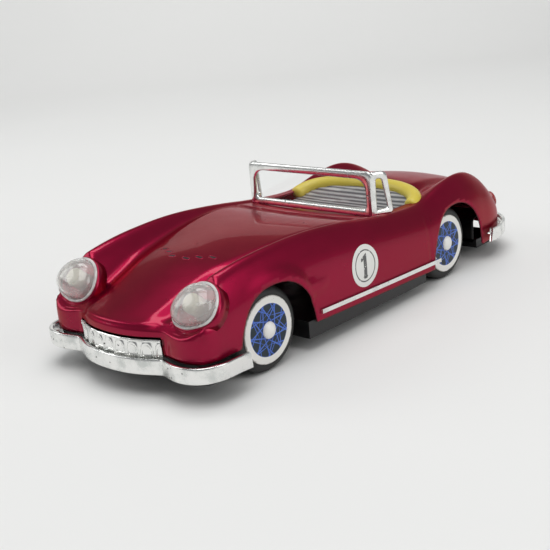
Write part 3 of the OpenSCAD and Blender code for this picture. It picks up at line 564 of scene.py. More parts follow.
def race_roundel(name, centre, side):
    """White race roundel: a thin dark ring inside its edge, and a plain serif figure 1 in the middle: an
    upright box, a foot that curves out by a square root, and a slanted flag."""
    f = Finish(name, Coat_Weight=0.5, Coat_Roughness=0.08)
    x, y, z = f.axes(centre)
    across = y * side
    radius = (across * across + z * z) ** 0.5
    ring = radius.band(7.0, 7.15) * radius.band(7.75, 7.6)
    lean = across * 0.84 - z * 0.06
    z = z * 0.9

    def box(left, right, low, high):
        """1 inside a box and 0 outside it, with soft edges."""
        soft = 0.12
        return (lean.band(left - soft, left + soft) * lean.band(right + soft, right - soft)
                * z.band(low - soft, low + soft) * z.band(high + soft, high - soft))

    foot = 1.55 + (z + 4.6).math("ABSOLUTE") ** 0.5 * -0.62
    serif = (lean.math("ABSOLUTE") - foot).band(0.1, -0.1) * z.band(-5.5, -5.3) * z.band(-2.6, -2.8)
    flag_edge = (lean * -1.0 + 0.2) * 0.62 + z
    flag = box(-2.5, -0.2, 2.2, 5.3) * flag_edge.band(5.35, 5.15) * (flag_edge + lean * -0.28).band(3.75, 3.95)
    figure = box(-1.0, 1.0, -5.4, 5.3).math("MAXIMUM", serif).math("MAXIMUM", flag)
    top = (z - 5.3 + (lean - 0.95) * -0.55).band(0.12, -0.12)
    figure = figure * top
    ink = (figure.math("MAXIMUM", ring)) * f.noise(900, 3).band(0.30, 0.36)
    white = f.mix(f.noise(110, 4), (0.72, 0.71, 0.68), (0.84, 0.84, 0.81))
    f.set(Base_Color=f.mix(ink * 0.95, white, (0.028, 0.028, 0.030)))
    f.set(Roughness=0.25 + f.noise(350, 4) * 0.2)
    f.bump(f.noise(400, 3), 0.00003, 0.4)
    return f.material


def plain_metal(name, dark, light, metallic, rough, grain):
    """Bare metal with cloudy tarnish and a fine grain."""
    f = Finish(name, Metallic=metallic)
    tarnish = f.noise(180, 5)
    f.set(Base_Color=f.mix(tarnish, dark, light))
    f.set(Roughness=rough + tarnish.band(0.4, 0.7) * 0.2)
    f.bump(f.noise(grain, 3), 0.00005, 0.6)
    return f.material


RED = red_lacquer()
BLACK = black_tin()
BRIGHT = bright_tin()
CLEAR = clear_sheet()
TRIM = printed_trim()
YELLOW = yellow_vinyl()
LENS = clear_lens()
FROSTED = frosted_edge()
CREAM = cream_plastic()
CAP = white_cap()
TAIL = red_lens()
RUBBER = tyre_rubber()
DISC_FRONT = printed_disc("printed_disc_front", FRONT_AXLE)
DISC_REAR = printed_disc("printed_disc_rear", REAR_AXLE)
STEEL = plain_metal("steel_wire", (0.30, 0.30, 0.31), (0.52, 0.52, 0.52), 1.0, 0.25, 600)
BRASS = plain_metal("brass_gear", (0.45, 0.30, 0.10), (0.70, 0.50, 0.20), 1.0, 0.3, 700)
LEAD = plain_metal("lead_flywheel", (0.10, 0.10, 0.11), (0.22, 0.22, 0.23), 1.0, 0.45, 300)
PLAIN = plain_metal("plain_tin", (0.38, 0.38, 0.36), (0.58, 0.57, 0.54), 1.0, 0.3, 500)
CORE = plain_metal("black_plastic", (0.008, 0.008, 0.009), (0.02, 0.02, 0.022), 0.0, 0.5, 400)


# ---------------------------------------------------------------- body
WALL_ROWS, ROUND_ROWS, TOP_ROWS, COLUMNS = 14, 22, 44, 270
# Middle of the left lamp's seat, how far it leans back from upright, and how far it turns outwards
LAMP_AT = (37.7, -101.5, 38.2)
LAMP_TILT, LAMP_YAW = 40.5, -3.0
# Outline of the lamps in their own plane, as (direction in degrees, distance from the offset centre)
LAMP_OUTLINE = [
    (-180, 11.3), (-155, 12.4), (-132, 12.5), (-110, 11.2), (-90, 10.6), (-70, 10.2), (-45, 10.9),
    (-20, 12.5), (0, 12.2), (25, 11.7), (55, 11.2), (90, 10.7), (120, 10.5), (150, 10.6), (180, 11.3),
]
LAMP_OFFSET = (0.0, 0.1)
# Cockpit opening: half width, front edge, where its rounded back starts, and the back's length
COCKPIT = (37.0, 20.4, 51.4, 20.5)
# Wheel arches: stations of their middles, and each one's height over the floor, half length and rise
ARCHES = (-66.0, 78.0)
ARCH_FOOT, ARCH_HALF, ARCH_RISE = 6, 24.5, 32.5
# Rim value of points that lie far from any cut edge
NO_RIM = 9.0


def turn(points, x_degrees, z_degrees):
    """Turns points about X and then about Z."""
    a, b = np.radians(x_degrees), np.radians(z_degrees)
    x, y, z = points[..., 0], points[..., 1], points[..., 2]
    y, z = y * np.cos(a) - z * np.sin(a), y * np.sin(a) + z * np.cos(a)
    return np.stack([x * np.cos(b) - y * np.sin(b), x * np.sin(b) + y * np.cos(b), z], -1)


def lamp_place(points):
    """From the left lamp's own frame, whose +Z is the way it points, to the car's."""
    return turn(points, 90 - LAMP_TILT, LAMP_YAW) + LAMP_AT


def lamp_local(points):
    """The other way: turns back about Z and then about X."""
    back = turn(points - np.array(LAMP_AT), 0, -LAMP_YAW)
    return turn(back, LAMP_TILT - 90, 0)


def car(points):
    """From the drawn stations to the car's own frame."""
    return points + np.array([0, SHIFT, 0])


def oval(x, y, half, height, power):
    """Signed measure of a squared-off ellipse: positive inside, about the distance to its edge."""
    reach = (np.abs(x / half) ** power + np.abs(y / height) ** power) ** (1 / power)
    return (1 - reach) * min(np.min(half), height)


def skin():
    """The body's outer surface as rows from the sill to the middle line and columns from nose to tail.
    From the outline it rises as an upright wall, turns inwards on a quarter ellipse, and runs straight in plan
    to the middle line, lifted to the top line's height everywhere."""
    s = np.linspace(0, LENGTH, COLUMNS + 1)[None, :]
    k = np.arange(WALL_ROWS + ROUND_ROWS + TOP_ROWS + 1)[:, None]
    edge_x, edge_y = outline_x(s), outline_y(s)
    edge_x[:, [0, -1]] = 0
    in_x, in_y = inward(s, 9.0)
    nose = np.where(edge_y > -100, 0, np.clip((42 - edge_x) / 8, 0, 1))
    width = 3 * nose + round_width(edge_y) * (1 - nose)
    low = 28 * nose + upright_z(edge_y) * (1 - nose)
    sill = SILL - RAKE * edge_y
    angle = np.pi / 2 * np.clip((k - WALL_ROWS) / ROUND_ROWS, 0, 1)
    f = np.clip((k - WALL_ROWS - ROUND_ROWS) / TOP_ROWS, 0, 1)
    into = width * (1 - np.cos(angle))
    x = (edge_x + in_x * into) * (1 - f)
    spine = np.interp(s, [0, 45, LENGTH - 45, LENGTH], [-104, -98, 112, 120])
    y = (edge_y + in_y * into) * (1 - f) + spine * f
    wall = sill + (low - sill) * np.clip(k / WALL_ROWS, 0, 1)
    z = np.where(k < WALL_ROWS, wall, low + (top_height(x, y) - low) * np.sin(angle))
    return np.stack([np.maximum(x, 0), y, z], -1)


def pressed(points):
    """Pressed-in lines of the body, as pushes along the surface's own direction: a bead round the hood's lip,
    the step ahead of the windscreen, the door's edge, and the flare over the front arch with its spear."""
    x, y, z = points[..., 0], points[..., 1], points[..., 2]
    out = np.zeros_like(points)
    # Bead along the nose's upper lip
    lip = np.exp(-((z - 31.0) / 0.9) ** 2) * step(-104, -108, y)
    out[..., 1] -= 0.7 * lip
    # Step across the cowl, curved forwards towards the middle
    bend = y - (4.0 - 3.2 * (1 - (x / 36) ** 2))
    across = step(39.5, 36, x) * (z > 40)
    ledge = 1.0 * step(-0.8, 0.8, bend) * step(22, 8, bend) - 0.5 * np.exp(-(bend / 0.9) ** 2)
    out[..., 2] += across * ledge
    # Door edge
    side = step(44, 48, x)
    door = np.exp(-((y - 50 + (z - 26) * 0.02) / 0.55) ** 2) * side * step(14, 15, z) * step(39, 37, z)
    out[..., 0] -= 0.45 * door
    # Seat of the lamp: near its outline the skin is held down to a dish that opens outwards from its plane
    local = lamp_local(points)
    apart = np.hypot(local[..., 0], local[..., 1]) - lamp_outline(np.arctan2(local[..., 1], local[..., 0]))
    apart = np.maximum(apart - 0.8, 0)
    over = local[..., 2] - (-0.3 + 0.3 * apart + 0.06 * apart**2)
    local[..., 2] -= 0.5 * (over + np.hypot(over, 0.5))
    near = (local[..., 2] > -12) & (apart < 30)
    out += (near * step(4, 14, x))[..., None] * (lamp_place(local) - points)
    # Flare round the front arch, which runs back to a spear
    arch = np.clip(1 - np.abs((y + 66) / 25.5) ** 2.3, 0, 1) ** (1 / 2.3)
    along = step(-48, -42, y)
    middle = (ARCH_FOOT + ARCH_RISE * arch + 1.5) * (1 - along) + 29.5 * along
    half = 4.2 - 4.2 * np.clip((y + 46) / 15, 0, 1)
    flare = side * step(half + 1.4, half - 1.0, np.abs(z - middle)) * step(-30.9, -33, y) * step(-84, -60, y)
    out[..., 0] += flare * (1 - 0.4 * along)
    return points + out


def openings(points):
    """Signed measure in millimetres of how far a place lies inside one of the body's openings: the cockpit
    with round front corners and a squared-oval back, the wheel arches, the lower edges under the nose and the
    tail, the grille's mouth, and the lamps. The largest of the measures counts."""
    x, y, z = points[..., 0], points[..., 1], points[..., 2]
    half_width, front_edge, back_start, back_length = COCKPIT
    never = -50
    half = half_width + 2.6 * step(49.0, 53.0, y)
    corner = 4
    corner_x, corner_y = x - (half - corner), front_edge + corner - y
    beyond = np.hypot(np.maximum(corner_x, 0), np.maximum(corner_y, 0))
    front = corner - beyond - np.minimum(np.maximum(corner_x, corner_y), 0)
    back = oval(x, y - back_start, half, back_length, 2.4)
    cuts = [np.where(y < back_start, front, back) + np.where(z < 35, never, 0)]
    for arch in ARCHES:
        cuts.append(oval(y - arch, z - ARCH_FOOT, ARCH_HALF, ARCH_RISE, 2.3) + np.where(x < 20, never, 0))
    nose_edge, tail_edge, overhang = 17.5, 10.2, 89.5
    cuts.append(np.minimum(nose_edge - z, -overhang - y))
    cuts.append(np.minimum(tail_edge - z, y - overhang))
    mouth_top, mouth_half = 25.8, 26
    cuts.append(np.minimum(np.minimum(mouth_top - z, mouth_half - x), -60 - y))
    lamp = lamp_local(points)
    lamp_x, lamp_y = lamp[..., 0] - LAMP_OFFSET[0], lamp[..., 1] - LAMP_OFFSET[1]
    inside = lamp_outline(np.arctan2(lamp_y, lamp_x)) - 0.3 - np.hypot(lamp_x, lamp_y)
    cuts.append(np.minimum(inside, lamp[..., 2] + 5))
    return np.max(cuts, 0)


def trimmed(points, faces, measure):
    """Cuts a mesh where measure is positive. Along each edge that crosses the cut, the nearer end slides to the
    crossing; a quad with one corner still inside keeps its other three."""
    value = measure(points)
    sides = np.concatenate([faces[:, [k, (k + 1) % 4]] for k in range(4)])
    edges = np.unique(np.sort(sides, axis=1), axis=0)
    edges = edges[value[edges[:, 0]] * value[edges[:, 1]] < 0]
    a, b = edges.T
    t = value[a] / (value[a] - value[b])
    mover = np.where(t < 0.5, a, b)
    target = points[a] + t[:, None] * (points[b] - points[a])
    moved = np.linalg.norm(target - points[mover], axis=1)
    order = np.argsort(-moved)
    points, value = points.copy(), value.copy()
    points[mover[order]] = target[order]
    value[mover] = 0
    outside = value[faces] > 1e-9
    count = outside.sum(1)
    kept = [list(f) for f in faces[count == 0]]
    for face, gone in zip(faces[count == 1], outside[count == 1]):
        kept.append([a for a, g in zip(face, gone) if not g])
    return points, kept, -value


def mirrored(points, faces):
    """Both sides of the car from its left side."""
    other = [[a + len(points) for a in f[::-1]] for f in faces]
    return np.concatenate([points, points * [-1, 1, 1]]), [list(f) for f in faces] + other


def lamp_outline(angle):
    """Radius of the lamp's outline towards an angle: its listed distances joined round and averaged softly."""
    listed = np.array(LAMP_OUTLINE, float)
    round_twice = np.concatenate([listed[:-1] - [360, 0], listed, listed[1:] + [360, 0]])
    smooth = line(round_twice.tolist(), 8.0)
    return smooth(np.degrees((angle + np.pi) % (2 * np.pi) - np.pi))


def lamp_lathe(profile):
    """A profile of (distance inside the lamp's outline, height) carried round that outline, in its own frame.
    A distance of None is a point on the axis."""
    steps = 96
    angle = np.linspace(0, 2 * np.pi, steps, endpoint=False)
    outline = lamp_outline(angle)
    rings = []
    for inside, height in profile:
        reach = 0 * outline if inside is None else outline - inside
        across, up = np.cos(angle) * reach + LAMP_OFFSET[0], np.sin(angle) * reach + LAMP_OFFSET[1]
        rings.append(np.stack([across, up, np.full(steps, height)], -1))
    return np.concatenate(rings), grid_faces(len(profile), steps, closed=True)


def body():
    """The lacquered pressing: the skin with its pressed lines, cut at the openings, with the lamps' cups
    carried round their outlines, and the same on the other side."""
    grid = pressed(skin())
    rows, columns = grid.shape[:2]
    points, faces, rim = trimmed(grid.reshape(-1, 3), grid_faces(rows, columns), openings)
    cup, cup_faces = lamp_lathe([
        (-0.9, -5.5), (-0.8, -0.9), (-0.5, -0.2), (0.0, 0.1),
        (0.5, -0.3), (0.7, -1.4), (2.5, -2.2), (None, -2.4),
    ])
    faces += [[a + len(points) for a in f] for f in cup_faces]
    points = np.concatenate([points, lamp_place(cup)])
    rim = np.concatenate([rim, np.full(len(cup), NO_RIM)])
    points, faces = mirrored(points, faces)
    points, faces, kept = weld(points, faces)
    piece = mesh_piece("body_pressing", car(points), faces, RED, ["body_shell"],
                       attributes={"rim": np.tile(rim, 2)[kept]})
    thicken(piece, TIN)


body()


# ---------------------------------------------------------------- lamps
def lamps():
    """Clear domes, whose height goes as the sine of an angle to the power 0.9 while their width goes as its
    cosine, the frosted flange round each, and the cream bulbs behind them."""
    foot = -0.9

    def arc(edge, low, rise):
        """From the dome's edge nearly to its top."""
        angle = np.linspace(0, np.pi / 2, 15)[:-1]
        return [(10.0 - (10.0 - edge) * np.cos(a), low + rise * np.sin(a) ** 0.9) for a in angle]

    outer = [(0.9, foot), (1.0, 0.5)] + arc(1.2, 0.7, 6.6) + [(None, 7.3)]
    inner = [(None, 6.5)] + arc(1.9, 0.3, 6.2)[::-1] + [(1.8, foot), (0.9, foot)]
    dome, dome_faces = lamp_lathe(outer + inner)
    rim, rim_faces = lamp_lathe([
        (0.1, foot), (0.0, 0.4), (0.1, 0.7), (0.4, 0.85), (0.7, 0.8), (0.85, 0.7), (0.95, 0.85), (1.1, 0.75),
        (1.15, 0.3), (1.15, foot), (0.1, foot),
    ])
    bulb_foot, corner, corner_at = -3.0, 1.6, (2.6, 3.0)
    shoulder = [(corner_at[0] + corner * np.cos(a), corner_at[1] + corner * np.sin(a))
                for a in np.linspace(0, np.pi / 2, 10)]
    bulb, bulb_faces = lathe([(0, bulb_foot), (corner_at[0] + corner, bulb_foot)] + shoulder + [(0, 4.8)])
    bulb[:, :2] += LAMP_OFFSET
    for side, name in ((1, "left"), (-1, "right")):
        for label, points, faces, finish, slot_name in (
            ("lamp_lens", dome, dome_faces, LENS, "clear_lens"),
            ("lamp_bulb", bulb, bulb_faces, CREAM, "white_plastic"),
            ("lamp_rim", rim, rim_faces, FROSTED, "clear_lens"),
        ):
            placed = lamp_place(points) * [side, 1, 1]
            faces = faces if side > 0 else faces[:, ::-1]
            placed, clean, _ = weld(placed, faces)
            replaced = [] if label == "lamp_rim" else [f"{label}_{name}"]
            mesh_piece(f"{label}_moulding_{name}", car(placed), clean, finish, replaced)


lamps()


# ---------------------------------------------------------------- windscreen
def rounded(corners, radii):
    """A closed outline through corners, each rounded by a quadratic curve that starts and ends a radius
    away."""
    corners = np.array(corners, float)
    t = np.linspace(0, 1, 10)[:, None]
    out = []
    for i, radius in enumerate(radii):
        here, before, after = corners[i], corners[i - 1], corners[(i + 1) % len(corners)]
        start = here + (before - here) / np.linalg.norm(before - here) * radius
        end = here + (after - here) / np.linalg.norm(after - here) * radius
        out.append((1 - t) ** 2 * start + 2 * t * (1 - t) * here + t**2 * end)
    return np.concatenate(out)


def framed(outer, inner, bulge):
    """A flat frame between two outlines of equally many points. Its front swells by a sine across the bar."""
    tin = 0.9
    f = np.linspace(0, 1, 9)[:, None, None]
    flat = outer[None] * (1 - f) + inner[None] * f
    swell = np.broadcast_to(tin / 2 + bulge * np.sin(np.pi * f) ** 0.7, flat.shape[:2] + (1,))
    front = np.concatenate([flat, swell], -1)
    back = np.concatenate([flat[[-1, 0]], np.full((2, len(outer), 1), -tin / 2)], -1)
    rings = np.concatenate([front, back, front[:1]])
    points = rings.reshape(-1, 3)
    return points, grid_faces(len(rings), len(outer), closed=True)[:, ::-1]


def windscreen():
    """The plated frame with its two swept wings, joined at the corner posts. Each is a flat frame between two
    rounded outlines, and the wings turn back by 70 degrees."""
    half, low, high, plane = 39.6, 45.4, 67.6, 17.8
    post, sill, head = half - 3.6, low + 3.4, high - 3.9
    outer = rounded([(-half, low), (half, low), (half, high), (-half, high)], (1, 1, 3.2, 3.2))
    inner = rounded([(-post, sill), (post, sill), (post, head), (-post, head)], (3, 3, 7, 7))
    front, front_faces = framed(outer, inner, 0.55)
    points = [np.stack([front[:, 0], plane + 0.5 - front[:, 2], front[:, 1]], -1)]
    faces = [front_faces]
    foot, head = 12.0, 12.0 * 0.72
    outer = rounded([(-0.2, low), (foot, low + 0.3), (head, high - 0.6), (-0.2, high - 0.4)], (0.6, 2, 3.5, 1))
    inner = rounded([(2.4, low + 3.0), (foot - 3.0, low + 3.1), (head - 2.5, high - 4.0), (2.4, high - 3.8)],
                    (1.4, 1.4, 2, 1.4))
    wing, wing_faces = framed(outer, inner, 0.45)
    a = np.radians(70)
    axes = np.array([[np.cos(a), np.sin(a), 0], [0, 0, 1], [np.sin(a), -np.cos(a), 0]])
    placed = np.array([half - 0.6, plane + 0.6, 0]) + wing @ axes
    points += [placed, placed * [-1, 1, 1]]
    faces += [wing_faces, wing_faces[:, ::-1]]
    start = np.cumsum([0] + [len(p) for p in points])
    everything = np.concatenate([f + n for f, n in zip(faces, start)])
    welded, clean, _ = weld(np.concatenate(points), everything)
    mesh_piece("windscreen_surround", car(welded), clean, BRIGHT, ["windscreen_frame"])


windscreen()


# ---------------------------------------------------------------- cockpit
def cockpit():
    """The printed insert, a sheet that dips to the floor and climbs into the seat back with pressed pleats
    across it, each the size of a sine, narrowed to a squared oval at the back; and the soft roll, a tube along
    half a squared oval that climbs towards the back and whose ends are round."""
    side = line([(18.9, 42.9), (22.9, 39), (26.9, 38), (44.9, 38.8), (56, 41.0), (62, 44.5), (68, 47.0)], 1.6)
    back_start, half, pleat = COCKPIT[2], 36.6, 2.6
    columns, rows = 220, 50
    y = np.linspace(18.9, 68, columns)[None, :]
    x = np.linspace(-half, half, rows)[:, None]
    oval_back = (1 - np.clip((y - back_start) / 19.5, 0, 1) ** 2.4) ** (1 / 2.4)
    wide = x * np.where(y > back_start, oval_back, 1.0)
    raised = 0.45 * np.abs(np.sin(y * np.pi / pleat)) ** 0.7 * step(21, 24, y)
    z = side(y) + raised + 0.6 * (wide / half) ** 4
    points = np.stack(np.broadcast_arrays(wide, y, z), -1).reshape(-1, 3)
    sheet, faces, _ = weld(points, grid_faces(rows, columns)[:, ::-1])
    piece = mesh_piece("cockpit_pleats", car(sheet), faces, TRIM, ["cockpit_insert"])
    thicken(piece, TRIM_TIN)
    stations, power = 161, 2 / 2.5
    roll_half, roll_depth, roll_rise, roll_radius = 37.8, 18, 5.4, 3.8
    angle = np.linspace(0, np.pi, stations)
    c, f = np.cos(angle), np.abs(np.sin(angle)) ** power
    path = np.stack([roll_half * np.sign(c) * np.abs(c) ** power, back_start + roll_depth * f,
                     42.0 + roll_rise * f], -1)
    run = run_along(path)
    at = np.linspace(0, run[-1], stations)
    path = np.stack([np.interp(at, run, path[:, axis]) for axis in range(3)], -1)
    end = np.clip(np.minimum(at, run[-1] - at) / 2.2, 0, 1)
    radius = roll_radius * np.maximum(np.sqrt(1 - (1 - end) ** 2), 0.02)
    points, faces = tube(path, radius, 36)
    mesh_piece("cockpit_roll", car(points), faces, YELLOW, ["seat_roll"])


cockpit()


# ---------------------------------------------------------------- bumpers and grille
def along_outline(s, out, z):
    """A place at run s from the nose, out from the outline by a distance, at a height."""
    in_x, in_y = inward(s, 2.0)
    x, y = outline_x(s) - in_x * out, outline_y(s) - in_y * out
    return np.stack(np.broadcast_arrays(np.maximum(x, 0), y, z), -1)


# Section of the bumpers, as (distance out from the body, height): a flat face, a crisp top ledge, and a tab
BUMPER = np.array([
    (2.35, 10.2), (2.65, 10.25), (2.78, 10.5), (2.88, 11.6), (2.9, 13.6), (2.88, 15.6), (2.84, 16.95),
    (2.7, 17.2), (2.3, 17.25), (1.3, 17.2), (1.1, 17.0), (1.1, 15.4), (1.0, 15.1), (0.05, 15.1),
    (0.05, 14.3), (1.0, 14.3), (1.6, 14.0), (1.7, 10.6), (1.9, 10.3),
])
BUMPER_OUT, BUMPER_UP = BUMPER[None, :, 0], BUMPER[None, :, 1]
# The tab's points are the ones nearer to the body than this, and they stay against it
BUMPER_TAB = 0.5
GRILLE_TIN = 0.5


def bumper(name, start, end, ends_at_start, node, rise, slope, proud=0.0, spread=0.0):
    """The bumper's section carried along the outline on both sides. Its ends are cut on a slope, so that the
    lower edge reaches further, and rise as the square of the nearness to the tip. It stands off by proud, and
    by spread more past the corners, where it also sits a little higher."""
    t = np.linspace(0, 1, 120)[:, None]
    slant = (17.3 - BUMPER_UP) * slope
    s = start - slant + (end - start + slant) * t if ends_at_start else start + (end - start + slant) * t
    from_end = t * (end - start) if ends_at_start else (1 - t) * (end - start)
    z = BUMPER_UP + rise * (1 - np.clip(from_end / 20, 0, 1)) ** 2
    wide = spread * step(24, 46, s) * (BUMPER_OUT > BUMPER_TAB)
    grid = along_outline(s, BUMPER_OUT + proud + wide, z + 0.6 * wide / max(spread, 1))
    points = grid.reshape(-1, 3)
    faces = [list(f) for f in grid_faces(len(t), len(BUMPER), closed=True)]
    tip = 0 if ends_at_start else len(t) - 1
    ring = [tip * len(BUMPER) + k for k in range(len(BUMPER))]
    faces.append(ring if ends_at_start else ring[::-1])
    points, faces, _ = weld(*mirrored(points, faces))
    mesh_piece(name, car(points), faces, BRIGHT, [node])


def grille():
    """The plated panel under the hood's lip, with a row of pressed arches and a bead along its top. Each arch
    is a bell-shaped ridge along a squared-off oval."""
    columns, rows, cell = 170, 60, 6.6
    s = np.linspace(0, 4 * cell, columns)[None, :]
    z = np.linspace(15.2, 25.0, rows)[:, None]
    across = ((s + cell / 2) % cell) - cell / 2
    ring = (np.abs(across / 2.7) ** 2.6 + np.abs((z - 15.0) / 8.2) ** 2.6) ** (1 / 2.6)
    arch = 0.55 * np.exp(-((ring - 1) / 0.14) ** 2)
    bead = 0.4 * np.exp(-((z - 24.5) / 0.4) ** 2)
    grid = along_outline(s, 0.15 + arch + bead, z)
    points, faces, _ = weld(*mirrored(grid.reshape(-1, 3), grid_faces(rows, columns)))
    piece = mesh_piece("grille_panel", car(points), faces, BRIGHT)
    thicken(piece, GRILLE_TIN)


bumper("bumper_front", 0, 69, False, "front_bumper", -0.5, 0.1, spread=1.9)
bumper("bumper_rear", LENGTH - 72, LENGTH, True, "rear_bumper", 0.9, 0.35, proud=1.2)
grille()


# ---------------------------------------------------------------- vents and the tail's inner panel
def vents():
    """Six slots in the hood, each a raised lacquered rim of quarter-round section round a black floor, which is
    painted shade: a black sheet lying on the hood that stands for the dark inside seen through the slot. The
    middle of a slot lies on the hood, tilted as the hood is there."""
    steps, squareness = 40, 0.6
    angle = np.linspace(0, 2 * np.pi, steps, endpoint=False)
    oval_x = np.sign(np.cos(angle)) * np.abs(np.cos(angle)) ** squareness
    oval_y = np.sign(np.sin(angle)) * np.abs(np.sin(angle)) ** squareness
    # Rings as (half length, half width, height over the hood)
    rim = [(2.4, 1.15, -0.1), (2.25, 1.0, 0.12), (2.0, 0.75, 0.16), (1.85, 0.6, -0.1)]
    # Black floor of each slot: painted shade for the dark inside of the car seen through the slot, laid on the
    # hood
    floor = [(1.95, 0.7, 0.02), (0, 0, 0.03)]
    for index, (x, y) in enumerate(((4.4, -73.9), (9.8, -70.8), (15.4, -68.1))):
        for side, name in ((1, "left"), (-1, "right")):
            for part, finish, slot_name, rings in (
                ("rim", RED, "red_lacquer", rim), ("floor", BLACK, "black_tin", floor),
            ):
                px = np.concatenate([x + a * oval_x for a, b, h in rings])
                py = np.concatenate([y + b * oval_y for a, b, h in rings])
                lift = np.repeat([h for a, b, h in rings], steps)
                points = np.stack([px * side, py, top_height(px, py) + lift], -1)
                points, faces, _ = weld(points, grid_faces(len(rings), steps, closed=True)[:, ::side])
                mesh_piece(f"vent_{part}_{name}_{index + 1}", car(points), faces, finish,
                           attributes={"rim": np.full(len(points), NO_RIM)})


def tail_panel():
    """Black inner panel behind the rear wheels: a bent line from the base up into the tail, drawn straight
    across the car."""
    columns, rows = 60, 40
    across = np.linspace(-38, 38, columns)[None, :]
    path = np.array([(112.5, 7.0), (112.5, 18.5), (113.2, 20.5), (116, 21.5), (130, 21.5)])
    run = run_along(path)
    at = np.linspace(0, run[-1], rows)[:, None]
    y = np.interp(at, run, path[:, 0])
    z = np.interp(at, run, path[:, 1])
    grid = np.stack(np.broadcast_arrays(across, y, z), -1)
    points = car(grid.reshape(-1, 3))
    piece = mesh_piece("tail_inner_panel", points, grid_faces(rows, columns), BLACK)
    thicken(piece, TRIM_TIN)


vents()
tail_panel()


# ---------------------------------------------------------------- race roundels
def roundels():
    """A thin disc of print on each side, laid just over the skin: each of its points takes the skin's distance
    from the middle of the car at that station and height."""
    steps, rings = 96, 16
    middle_y, middle_z, size, proud = -5, 29, 10, 0.08
    runs = np.linspace(60, LENGTH - 60, 400)
    for side, name in ((1, "left"), (-1, "right")):
        angle = np.linspace(0, 2 * np.pi, steps, endpoint=False)[None, :]
        radius = np.linspace(0, size, rings)[:, None]
        y, z = middle_y + radius * np.cos(angle), middle_z + radius * np.sin(angle)
        s = np.interp(y, outline_y(runs), runs)
        rise = np.arcsin(np.clip((z - upright_z(y)) / (crest_z(y) - upright_z(y)), 0, 1))
        x = outline_x(s) - round_width(y) * (1 - np.cos(rise)) + proud
        points = np.stack([x, y, z], -1).reshape(-1, 3) * [side, 1, 1]
        faces = grid_faces(rings, steps, closed=True)[:, :: -side]
        points, faces, _ = weld(points, faces)
        print_finish = race_roundel(f"race_print_{name}", (0, SHIFT + middle_y, middle_z), side)
        mesh_piece(f"race_roundel_{name}", car(points), faces, print_finish)


roundels()

# ---------------------------------------------------------------- finishes of the CAD nodes that stay
FINISHES = {
    "base_plate": BLACK, "windscreen_pane": CLEAR, "tail_lens_left": TAIL, "tail_lens_right": TAIL,
    "sill_strip_left": BRIGHT, "sill_strip_right": BRIGHT, "front_axle": STEEL, "rear_axle": STEEL,
    "axle_gear": BRASS, "idler_pinion": BRASS, "idler_gear": BRASS, "flywheel_pinion": BRASS,
    "idler_shaft": STEEL, "flywheel_shaft": STEEL, "flywheel": LEAD,
    "motor_plate_left": PLAIN, "motor_plate_right": PLAIN, "motor_pillars": PLAIN,
}
for end, disc in (("front", DISC_FRONT), ("rear", DISC_REAR)):
    for side in ("left", "right"):
        wheel = f"{end}_{side}"
        FINISHES.update({f"tyre_{wheel}": RUBBER, f"disc_{wheel}": disc})
        FINISHES.update({f"core_{wheel}": CORE, f"cap_{wheel}": CAP})
for node, finish in FINISHES.items():
    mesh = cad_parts[node].data
    mesh.materials.clear()
    mesh.materials.append(finish)


# ---------------------------------------------------------------- studio
def paper():
    """A pale floor that curves up into a low backdrop behind the car: flat, then a quarter circle, then
    upright, drawn straight across. All in metres."""
    rows, columns, bend_radius = 60, 9, 0.45
    flat_part, bend_part = 0.45, 0.25
    run = np.linspace(0, 1, rows)
    back, across, up = np.array([-0.65, 0.76, 0]), np.array([0.76, 0.65, 0]), np.array([0, 0, 1.0])
    bend = np.clip((run - flat_part) / bend_part, 0, 1) * np.pi / 2
    flat = np.clip(run / flat_part, 0, 1) * 4.0 - 3.0
    depth = flat + bend_radius * np.sin(bend)
    upright = np.clip((run - flat_part - bend_part) / (1 - flat_part - bend_part), 0, 1) * 0.3
    height = bend_radius * (1 - np.cos(bend)) + upright
    width = np.linspace(-2.4, 2.4, columns)
    points = depth[:, None, None] * back + width[None, :, None] * across + height[:, None, None] * up
    mesh = bpy.data.meshes.new("paper")
    mesh.from_pydata(points.reshape(-1, 3).tolist(), [], grid_faces(rows, columns)[:, ::-1].tolist())
    mesh.polygons.foreach_set("use_smooth", [True] * len(mesh.polygons))
    sheet = bpy.data.objects.new("paper", mesh)
    bpy.context.scene.collection.objects.link(sheet)
    f = Finish("paper", Specular_IOR_Level=0.2)
    f.set(Base_Color=f.mix(f.noise(3, 2), (0.80, 0.80, 0.785), (0.83, 0.83, 0.815)))
    f.set(Roughness=0.75 + f.noise(40, 3) * 0.15)
    sheet.data.materials.append(f.material)


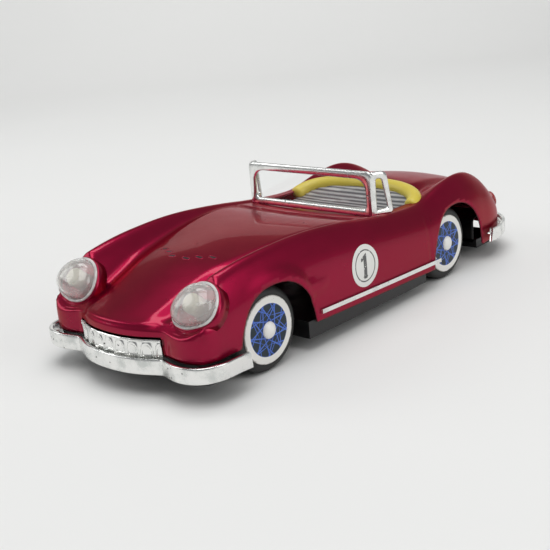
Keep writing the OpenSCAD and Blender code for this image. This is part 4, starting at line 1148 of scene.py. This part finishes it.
def lights():
    """Four soft lights, each as place, aim, size and power, and a dim pale surround."""
    for name, place, aim, size, power in (
        ("key", (0.3, -0.3, 1.25), (0, 0, 0.02), (1.0, 1.0), 9.0),
        ("left", (-1.1, -0.7, 0.75), (0, 0, 0.03), (0.7, 0.9), 4.5),
        ("right", (1.2, 0.25, 0.55), (0, 0, 0.03), (0.6, 0.9), 4.2),
        ("backdrop", (-0.35, 0.3, 1.5), (-0.9, 1.1, 0.3), (1.2, 0.5), 9.5),
    ):
        data = bpy.data.lights.new(name, "AREA")
        data.shape, data.size, data.size_y, data.energy = "RECTANGLE", size[0], size[1], power
        lamp = bpy.data.objects.new(name, data)
        bpy.context.scene.collection.objects.link(lamp)
        lamp.location = place
        lamp.rotation_euler = (Vector(aim) - Vector(place)).to_track_quat("-Z", "Y").to_euler()

    world = bpy.data.worlds.new("studio")
    bpy.context.scene.world = world
    world.use_nodes = True
    shade = world.node_tree.nodes["Background"]
    shade.inputs["Color"].default_value = (0.95, 0.97, 1.0, 1)
    shade.inputs["Strength"].default_value = 0.24


def camera():
    """The camera looks along the azimuth and down by the elevation, rolled about its own axis."""
    azimuth, elevation, roll = (np.radians(a) for a in (42.667, 17.6105, -5.1958))
    level = np.array([np.sin(azimuth), -np.cos(azimuth), 0])
    back = level * np.cos(elevation) + np.array([0, 0, np.sin(elevation)])
    right = np.cross(-back, [0, 0, 1.0])
    right /= np.linalg.norm(right)
    up = np.cross(right, -back)
    turned = np.cos(roll) * right + np.sin(roll) * up
    upright = -np.sin(roll) * right + np.cos(roll) * up
    data = bpy.data.cameras.new("camera")
    data.sensor_width, data.lens = 36.0, 64.66
    data.clip_start = 0.01
    holder = bpy.data.objects.new("camera", data)
    bpy.context.scene.collection.objects.link(holder)
    place = Matrix(np.c_[turned, upright, back].tolist()).to_4x4()
    place.translation = (0.31566, -0.36919, 0.16724)
    holder.matrix_world = place
    bpy.context.scene.camera = holder


paper()
lights()
camera()
bpy.context.scene.view_settings.view_transform = "Standard"
